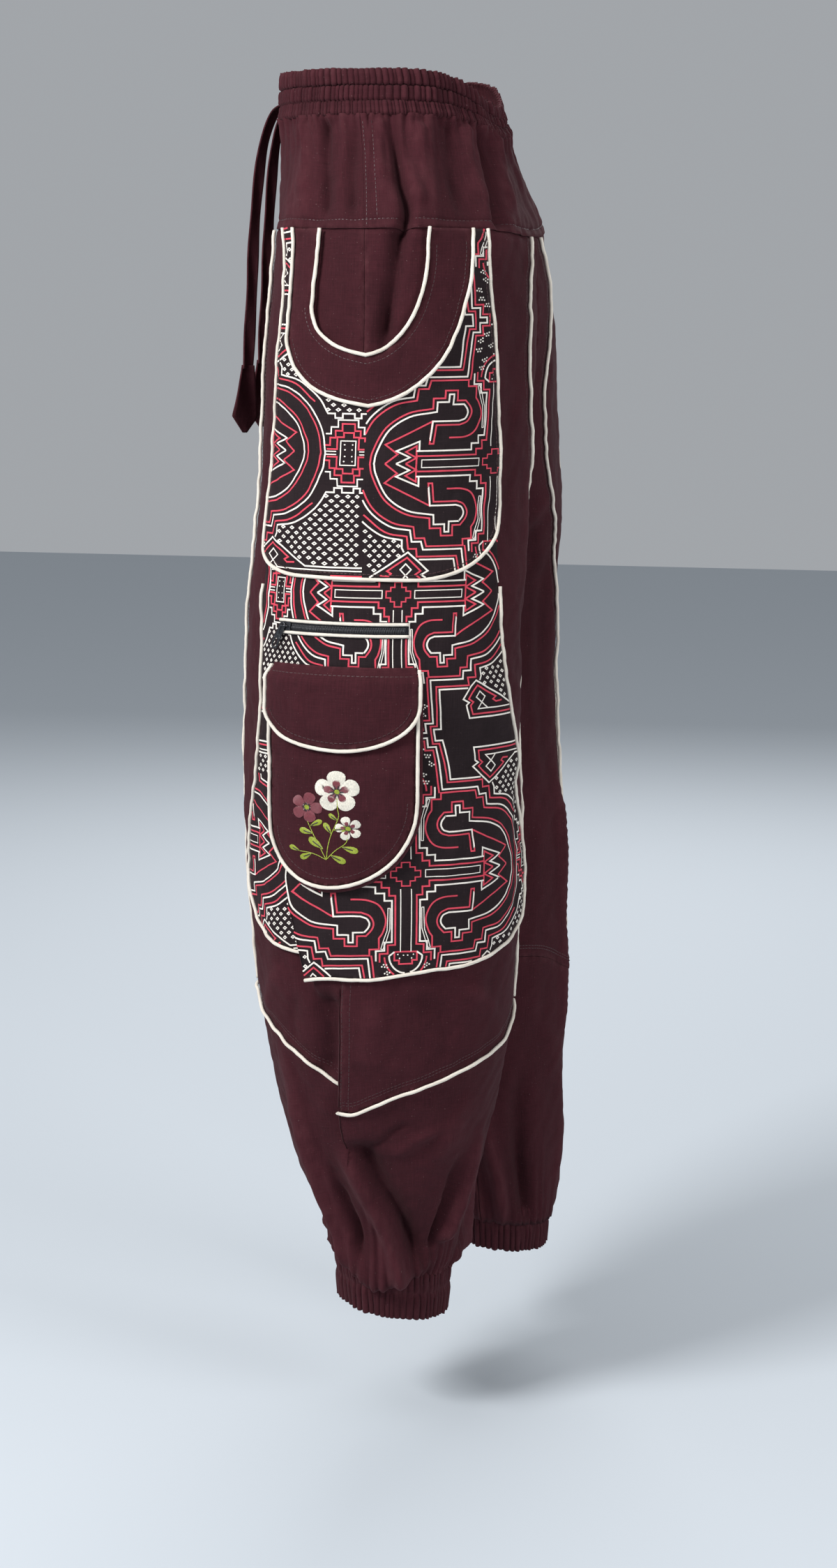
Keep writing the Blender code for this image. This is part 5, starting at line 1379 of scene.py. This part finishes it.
nylon, start = new_finish("zip_coil_nylon", 0.32, Specular_IOR_Level=0.5)
grey = start.node("NewGeometry", output="Position").noise(2.0, 500.0, 500.0, 500.0)
link(nylon, Base_Color=grey.mix(rgb(0.020, 0.020, 0.023), rgb(0.058, 0.058, 0.064)),
     Roughness=0.24 + 0.2 * grey)
teeth = []
pitch = 0.00125
first_tooth = around(SLIDER_ANGLE + 3.0)
for row in (-1, 1):
    for i in range(int((around(ZIP_BACK - 0.6) - first_tooth) / pitch)):
        at = first_tooth + (i + 0.25 * row) * pitch
        line = np.array([(at - 0.00010 * row, ZIP_Z + row * 0.0021), (at, ZIP_Z + row * 0.0010),
                         (at + 0.00025 * row, ZIP_Z - row * 0.0006)])
        teeth.append(bead("left", line, LAYER + CLOTH + 0.00105, 0.00042, 5, 0.002))
points, faces, places = joined(teeth)
piece = new_piece("zip_coil", points, faces, nylon, flat=places)
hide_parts("zip_chain")

for name, rise in (("zip_upper_lip", 0.0047), ("zip_lower_lip", -0.0047)):
    line = [flat(a, ZIP_Z + rise) for a in np.linspace(ZIP_FRONT - 0.4, ZIP_BACK, 24)]
    piping(name, [bead("left", line, LAYER + CLOTH + 0.00125, 0.00130)])

enamel, start = new_finish("black_enamel", 0.26, Metallic=0.80, Coat_Weight=0.25, Coat_Roughness=0.2)
scuff = start.node("NewGeometry", output="Position").noise(4.0, 420.0, 420.0, 900.0).range(0.56, 0.74)
link(enamel, Base_Color=scuff.mix(rgb(0.044, 0.046, 0.053), rgb(0.150, 0.152, 0.160)),
     Roughness=0.26 + 0.22 * scuff)


def plate(name, outline, holes, thickness, axes, origin, finish, bevel, body="pants"):
    """A flat plate with holes; axes are its width, length and outward directions."""
    places, edges = [], []
    for ring in [outline] + list(holes):
        start_at = len(places)
        places += [Vector(p) for p in ring]
        edges += [(start_at + i, start_at + (i + 1) % len(ring)) for i in range(len(ring))]
    verts, _, faces, *_ = delaunay_2d_cdt(places, edges, [], 0, 1e-8)
    verts = np.array([tuple(p) for p in verts])
    middle = np.array([verts[list(f)].mean(axis=0) for f in faces])
    ok = within(np.array(outline), middle)
    for hole in holes:
        ok &= ~within(np.array(hole), middle)
    points = origin + verts[:, :1] * axes[0] + verts[:, 1:] * axes[1]
    kept = [list(f) for f, good in zip(faces, ok) if good]
    if np.dot(np.cross(axes[0], axes[1]), axes[2]) < 0.0:
        kept = [f[::-1] for f in kept]
    used = sorted({i for f in kept for i in f})
    renumber = {old: new for new, old in enumerate(used)}
    piece = new_piece(name, points[used], [[renumber[i] for i in f] for f in kept], finish, body)
    wall(piece, thickness)
    edge = piece.modifiers.new("soft_edges", "BEVEL")
    edge.width, edge.segments = bevel, 2
    edge.limit_method, edge.angle_limit = "ANGLE", 0.9
    return piece


BAIL_HALF = 0.0028
hinge = next(j for j in frame["joints"] if j["name"] == "zip_pull_swing")
pivot, out = np.array(hinge["pos_m"], float), unit(np.array(hinge["axis"], float))
along = unit(np.cross((0.0, 0.0, 1.0), out))
if along[1] < 0.0:
    along = -along
down = np.cross(out, along)
if down[2] > 0.0:
    down = -down
seat = pivot + along * BAIL_HALF - out * 0.0017
body_outline = [(-.0046, -.0018), (-.0046, .0018), (-.0036, .0030), (-.0012, .0038), (.0030, .0036),
                (.0046, .0026), (.0047, -.0026), (.0030, -.0036), (-.0012, -.0038), (-.0036, -.0030)]
body_outline = bend(body_outline + body_outline[:1], 4)[:-1].tolist()
slider = plate("zip_slider_body", body_outline, [], 0.0012, (along, down, out), seat, enamel, 0.0004)
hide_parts("zip_slider")
arch = [(-BAIL_HALF, .0010), (-BAIL_HALF, .0034), (-.0022, .0042), (-.0008, .0046), (.0012, .0044),
        (.0025, .0034), (BAIL_HALF, .0010)]
curve = bpy.data.curves.new("zip_bail", "CURVE")
curve.dimensions, curve.bevel_depth, curve.bevel_resolution = "3D", 0.00068, 3
curve.use_fill_caps = True
spline = curve.splines.new("POLY")
arch = bend(arch, 4)
spline.points.add(len(arch) - 1)
for spot, (run, rise) in zip(spline.points, arch):
    spot.co = (*(seat + along * run + out * rise), 1.0)
bail = bpy.data.objects.new("zip_bail", curve)
curve.materials.append(enamel)
bpy.context.scene.collection.objects.link(bail)
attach(bail, "pants")

# The pull tab: a flat tongue with a round hole over the bail's front post, a window to hold and a
# raised rim. It hangs with a slight lean to the front and swings about the post.
lean = math.radians(24.0)
length_way = down * math.cos(lean) - along * math.sin(lean)
width_way = np.cross(out, length_way)
turns = np.linspace(0.0, 2.0 * math.pi, 28, endpoint=False) + 0.1
TAB_LENGTH, TAB_TOP, TAB_FOOT = 0.0235, 0.0030, 0.0034       # its ends are half circles
foot = TAB_LENGTH - TAB_TOP - TAB_FOOT
tongue = [(TAB_TOP * math.cos(t), TAB_TOP * math.sin(t)) if math.sin(t) < 0.0
          else (TAB_FOOT * math.cos(t), foot + TAB_FOOT * math.sin(t)) for t in turns]
hole = [(0.0011 * math.cos(t), 0.0011 * math.sin(t)) for t in turns]
window = [(0.0018 * math.cos(t), foot - 0.0036 * (math.sin(t) < 0.0) + 0.0018 * math.sin(t)) for t in turns]
tab = plate("zip_pull_tab", tongue, [hole, window], 0.0012, (width_way, length_way, out), pivot, enamel,
            0.00028, "zip_pull")
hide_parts("zip_pull")

# ---- Cargo pocket ----------------------------------------------------------------------------
# A bellows pocket low on the left side panel: a U of folded cotton, a piped front with a rounded
# foot, and a piped flap sewn along its top edge that lies over the pocket.


def rounded_pocket(top, front, front_low, back, front_start, back_start, foot):
    """Outline of a pocket body or flap: straight sides and one wide rounded foot."""
    down_front = np.concatenate([[flat(front, top)], round_corner((front_low, front_start), foot)])
    up_back = round_corner((back, back_start), foot)
    return np.concatenate([down_front, up_back[-2::-1], [flat(back, top)]])


FLAP_TOP = -.4675
cargo = rounded_pocket(-.4800, -37.0, -36.0, 24.0, -.5980, -.5740, (-10.0, -.6415))
flap = rounded_pocket(FLAP_TOP, -37.5, -37.5, 24.6, -.5030, -.4960, (-5.0, -.5318))
BODY_HEIGHT = 2 * LAYER + 0.0046
outer, inner = beside(cargo, -0.0056), beside(cargo, 0.0080)
for line in (outer, inner):
    line[[0, -1], 1] = -.484         # the bellows end just below the pocket's top

outer_dense = dense(outer, 0.0008)


def bellows_rise(places):
    """The bellows roll up from the panel at their outer edge."""
    return 2 * LAYER + 0.0034 * np.minimum(distance_to(outer_dense, places) / 0.0022, 1.0) ** 0.5


cut_cloth("cargo_bellows", "left", np.concatenate([outer, inner[::-1]]), brown, bellows_rise, 0.0018)


def pocket_puff(places, distance):
    """The pocket's front stands off a little below the flap."""
    below = ease((-.528 - places[:, 1]) / 0.030)
    return 0.0030 * below * ease(distance / 0.022) - 0.0006 * ease(1.0 - distance / 0.004)


cut_cloth("cargo_pocket", "left", cargo, brown, BODY_HEIGHT, 0.0024,
          puff=pocket_puff)
line = beside(cargo, -BESIDE)
line[[0, -1], 1] = -.482
piping("cargo_piping", [bead("left", line, BODY_HEIGHT + 0.0016)])
FLAP_HEIGHT = BODY_HEIGHT + 0.0034


def flap_rise(places):
    """The flap is sewn down along its top edge and lies over the pocket below it."""
    share = ease((FLAP_TOP - places[:, 1]) / 0.0130)
    return 2 * LAYER + (FLAP_HEIGHT - 2 * LAYER) * share


cut_cloth("cargo_flap", "left", flap, brown, flap_rise, 0.0024,
          puff=lambda places, distance: 0.0014 * ease(distance / 0.02))
line = beside(flap, -BESIDE)[1:-1]
line = np.concatenate([[(line[0, 0], FLAP_TOP - 0.0015)], line, [(line[-1, 0], FLAP_TOP - 0.0015)]])
piping("flap_piping", [bead("left", line, lambda places: flap_rise(places) + 0.0014)])

# The pocket carries an embroidered sprig: three blossoms on arching stems over a fan of leaves, in
# satin stitch. Each strand of thread is a low ridge laid across its petal or leaf.
thread_colours = {"cream": rgb(0.80, 0.76, 0.66), "rose": rgb(0.205, 0.042, 0.056),
                  "green": rgb(0.330, 0.400, 0.030), "dark": rgb(0.030, 0.018, 0.020),
                  "wine": rgb(0.046, 0.010, 0.013)}
threads = {}
for name, colour in thread_colours.items():
    threads[name], start = new_finish(name + "_thread", 0.42, Sheen_Weight=0.15, Specular_IOR_Level=0.4)
    ply = start.attribute("flat").noise(1.0, 2600.0, 500.0)
    link(threads[name], Base_Color=ply.range(0.35, 0.65).mix(times(colour, 0.70), colour),
         Normal=ply.bump(0.4, 0.0002))


def petal(middle, way, length, width, tip=0.62):
    """A drop-shaped outline that grows from its narrow base, in millimetres."""
    turns = np.linspace(0.0, 2.0 * math.pi, 22, endpoint=False)
    along = 0.5 * length * (1.0 - np.cos(turns))
    side = 0.5 * width * np.sin(turns) * (along / length) ** (1.0 - tip) * 1.25
    c, d = math.cos(way), math.sin(way)
    return np.column_stack([middle[0] + along * c - side * d, middle[1] + along * d + side * c])


def satin(outline, way, gap=0.44, seed=1):
    """Strands of thread laid across an outline: pairs of end points in millimetres."""
    pick = np.random.default_rng(seed)
    c, d = math.cos(way), math.sin(way)
    turned = np.column_stack([outline[:, 0] * c + outline[:, 1] * d, outline[:, 1] * c - outline[:, 0] * d])
    ahead = np.roll(turned, -1, axis=0)
    strands = []
    for level in np.arange(turned[:, 1].min() + 0.5 * gap, turned[:, 1].max(), gap):
        cross = [p[0] + (level - p[1]) * (q[0] - p[0]) / (q[1] - p[1])
                 for p, q in zip(turned, ahead) if (p[1] > level) != (q[1] > level)]
        if len(cross) > 1 and max(cross) - min(cross) > 0.5:
            x0, x1 = min(cross) - pick.uniform(0, 0.25), max(cross) + pick.uniform(0, 0.25)
            strands.append([(x * c - level * d, x * d + level * c) for x in (x0, x1)])
    return strands


sprig = {name: [] for name in thread_colours}
for (cx, cy), length, width, outer_thread, inner_thread, first in (
        ((9.0, 17.0), 15.0, 13.0, "cream", "rose", 0.35), ((-14.0, 3.0), 10.5, 9.0, "rose", "cream", 0.0),
        ((17.0, -12.0), 8.0, 6.6, "cream", "rose", 0.6)):
    for k in range(5):
        way = first + 2.0 * math.pi * k / 5
        start_place = (cx + 1.6 * math.cos(way), cy + 1.6 * math.sin(way))
        sprig[outer_thread] += satin(petal(start_place, way, length, width), way, seed=k)
        sprig[inner_thread] += satin(petal(start_place, way, 0.52 * length, 0.42 * width), way, seed=k)
    turns = np.linspace(0.0, 6.28, 14)[:-1]
    heart = np.column_stack([cx + 2.1 * np.cos(turns), cy + 2.1 * np.sin(turns)])
    sprig["green"] += satin(heart, 0.8)
    for k in range(10):
        way = first + 2.0 * math.pi * (k + 0.5) / 10
        tip = (cx + 0.36 * length * math.cos(way), cy + 0.36 * length * math.sin(way))
        sprig["dark"].append([(cx + 1.8 * math.cos(way), cy + 1.8 * math.sin(way)), tip])
stems = [[(1, -38), (4, -20), (10, -4), (9.5, 3), (9, 12)], [(1, -38), (-6, -24), (-13, -10), (-14, -2)],
         [(1, -38), (8, -30), (15, -24), (17, -17)], [(1, -38), (-9, -34), (-20, -33)]]
for stem in stems:
    at = bend(stem, 5)
    sprig["green"] += [[tuple(p), tuple(q)] for p, q in zip(at, at[1:])]
for x, y, way, length in ((-1, -30, 2.5, 14), (-9, -18, 2.9, 11), (-11.5, -12, 0.5, 10), (6, -14, 0.2, 11),
                          (5, -17, 2.2, 10), (12, -27, -0.3, 12), (4, -34, -0.5, 12), (-10, -34, 3.6, 11),
                          (-20, -33, 2.8, 9), (9.5, -6, 2.5, 8)):
    leaf = petal((x, y), way, length, 0.46 * length, 0.30)
    sprig["green"] += satin(leaf, way + 0.9)
    sprig["dark"].append([(x + 0.12 * length * math.cos(way), y + 0.12 * length * math.sin(way)),
                          (x + 0.72 * length * math.cos(way), y + 0.72 * length * math.sin(way))])


def strand_mesh(name, leg, pairs, height, thread, width=0.00062, lift=0.00034, cut=None, side=None,
                folds=None):
    """Low rounded strands between pairs of flat places, as one piece."""
    way = pairs[:, 1] - pairs[:, 0]
    length = np.linalg.norm(way, axis=1)
    way /= length[:, None] + 1e-12
    aside = np.stack([-way[:, 1], way[:, 0]], axis=1)
    places, rises = [], []
    for share, high in ((0.0, 0.0), (0.22, 1.0), (0.78, 1.0), (1.0, 0.0)):
        for off, crown in ((-0.5, 0.35), (0.0, 1.0), (0.5, 0.35)):
            places.append(pairs[:, 0] + way * (length * share)[:, None] + aside * width * off)
            rises.append(np.full(len(pairs), lift * high * crown))
    places, rises = np.stack(places, axis=1).reshape(-1, 2), np.stack(rises, axis=1).ravel()
    points = worn(leg, *places.T, heights(height, places) + rises, cut, side, folds)
    faces = (np.arange(len(pairs))[:, None, None] * 12 + tube_faces(4, 3, False)).reshape(-1, 4)
    if leg == "left":
        faces = faces[:, ::-1]
    return new_piece(name, points, faces, thread, flat=places)


cargo_rim = dense(cargo, 0.002, closed=True)


def on_pocket(places):
    """Height of the cargo pocket's face."""
    return BODY_HEIGHT + CLOTH + pocket_puff(places, distance_to(cargo_rim, places))


for name, rise, width in (("cream", 0.0001, 0.00058), ("rose", 0.00035, 0.00058),
                          ("green", 0.0001, 0.00058), ("dark", 0.0005, 0.0009)):
    pairs = np.array(sprig[name], float) * 0.001 + flat(-10.5, -.5830)
    strand_mesh("sprig_" + name, "left", pairs, lambda places: on_pocket(places) + rise, threads[name],
                width, 0.00055)

# ---- Stitching -------------------------------------------------------------------------------
# Lockstitch in wine thread: beside every piped seam, twice above the knee seam and along the side
# seam, across the flap, round the pocket mouths, and above the yoke's lower seam.


def dashes(line, pitch=0.0034, share=0.74):
    """Stitches along a flat line, as pairs of places."""
    line = np.array(line, float)
    run = run_of(line)
    begin = np.arange(0.001, run[-1] - pitch, pitch)
    ends = [np.column_stack([np.interp(at, run, line[:, 0]), np.interp(at, run, line[:, 1])])
            for at in (begin, begin + pitch * share)]
    return np.stack(ends, axis=1)


def stitched(name, leg, lines, height, cut=None, side=None):
    pairs = np.concatenate([dashes(line) for line in lines])
    strand_mesh(name, leg, pairs, height, threads["wine"], cut=cut, side=side)


for leg in LEGS:
    seams = [long_seam(leg, end, YOKE_BOTTOM - 0.001, 0.004) for end in (0, 1)]
    stitched("seam_stitches_" + leg, leg,
             [seam + (aside, 0) for seam in seams for aside in (-0.0038, 0.0038)], CLOTH)
    hems = [hem_line(-179.0, 179.0, rise) for rise in (0.0072, 0.0098)]
    if leg == "right":
        stitched("hem_stitches_right", leg, hems, CLOTH)
    else:
        edges = [lap_place(LAPS["knee"], hem[:, 1])[0] for hem in hems]
        fronts = [hem[hem[:, 0] < edge - 0.002] for hem, edge in zip(hems, edges)]
        backs = [hem[hem[:, 0] > edge + 0.001] for hem, edge in zip(hems, edges)]
        seam = side_seam("left", 0.0, -.722, -.826)
        backs += [seam + (0.0012, 0), seam + (0.0076, 0)]
        stitched("hem_stitches_left_front", leg, fronts, CLOTH, "knee", 0)
        stitched("hem_stitches_left_back", leg, backs, CLOTH, "knee", 1)
    stitched("mouth_stitches_" + leg, leg,
             [beside(MOUTH_OUTER, 0.0045)[1:-1], beside(MOUTH_INNER, -0.0050)[1:-1]], 2 * LAYER + CLOTH)
    stitched("hip_pocket_stitches_" + leg, leg, [beside(pocket_rim(POCKET_CORNER), 0.0024)],
             2 * LAYER + CLOTH + 0.0003)

    # yoke: topstitch above its lower seam, and both rows of its side seam
    reach = half_turn(np.array([TOPSTITCH]))[0] - 0.001
    pairs = np.concatenate([dashes(dense(line, 0.003)) for line in (
        [(-reach, TOPSTITCH), (reach, TOPSTITCH)], [flat(5.4, -.0400), flat(5.1, -.080), flat(5.6, -.1160)],
        [flat(1.0, -.040), flat(1.0, -.1240)])])

    def yoke_place(places):
        ring = places[:, 0] / half_turn(places[:, 1]) * 0.25 * WAIST
        ring = ring if leg == "left" else 0.5 * WAIST - ring
        return yoke_height(leg, ring, *places.T)[0] + CLOTH

    strand_mesh("yoke_stitches_" + leg, leg, pairs, yoke_place, threads["wine"], folds=0.0)

stitched("cargo_stitches", "left", [beside(cargo, 0.0052)[1:-1]], on_pocket)
flap_rim = dense(flap, 0.002, closed=True)
stitched("flap_stitches", "left", [[flat(-36.5, -.4740), flat(23.6, -.4740)], beside(flap, 0.0045)[1:-1]],
         lambda places: (flap_rise(places) + CLOTH + 0.0004
                         + 0.0014 * ease(distance_to(flap_rim, places) / 0.02)))

# ---- Studio ----------------------------------------------------------------------------------
# A plain pale floor below the hanging garment, a pale surround and large soft lights.
camera = bpy.data.objects.new("camera", bpy.data.cameras.new("camera"))
camera.data.lens, camera.data.sensor_width = 70.01, 36.0
CAMERA_TURN, CAMERA_DISTANCE, CAMERA_HEIGHT, LOOK_DOWN = math.radians(103.0), 2.6, -0.1415, 9.92
camera.location = (CAMERA_DISTANCE * math.sin(CAMERA_TURN), -CAMERA_DISTANCE * math.cos(CAMERA_TURN),
                   CAMERA_HEIGHT)
camera.rotation_euler = (math.radians(90.0 - LOOK_DOWN), 0.0, CAMERA_TURN)
bpy.context.scene.collection.objects.link(camera)
bpy.context.scene.camera = camera

bpy.context.scene.view_settings.view_transform = "Standard"

bpy.ops.mesh.primitive_plane_add(size=14.0, location=(0.0, 0.0, -1.125))
floor = bpy.context.active_object
floor.name = "floor"
pale, _ = new_finish("pale_floor", 0.9, Specular_IOR_Level=0.1, Base_Color=rgb(0.52, 0.56, 0.60))
floor.data.materials.append(pale)

world = bpy.data.worlds.new("surround")
world.use_nodes = True
world.node_tree.nodes["Background"].inputs["Color"].default_value = rgb(0.86, 0.90, 0.95)
world.node_tree.nodes["Background"].inputs["Strength"].default_value = 0.42
bpy.context.scene.world = world
for name, azimuth, distance, height, size, power in (
        ("key", 54.0, 2.5, 1.2, 0.9, 92.0), ("fill", 150.0, 2.8, 0.4, 1.2, 32.0),
        ("back", 275.0, 2.6, 1.0, 1.8, 46.0), ("top", 70.0, 1.3, 2.3, 1.6, 14.0)):
    light = bpy.data.objects.new(name, bpy.data.lights.new(name, "AREA"))
    light.data.size, light.data.energy = size, power
    turn = math.radians(azimuth)
    light.location = (distance * math.sin(turn), -distance * math.cos(turn), height)
    aim = Vector((0.05, 0.0, -0.5)) - Vector(light.location)
    light.rotation_euler = aim.to_track_quat("-Z", "Y").to_euler()
    bpy.context.scene.collection.objects.link(light)
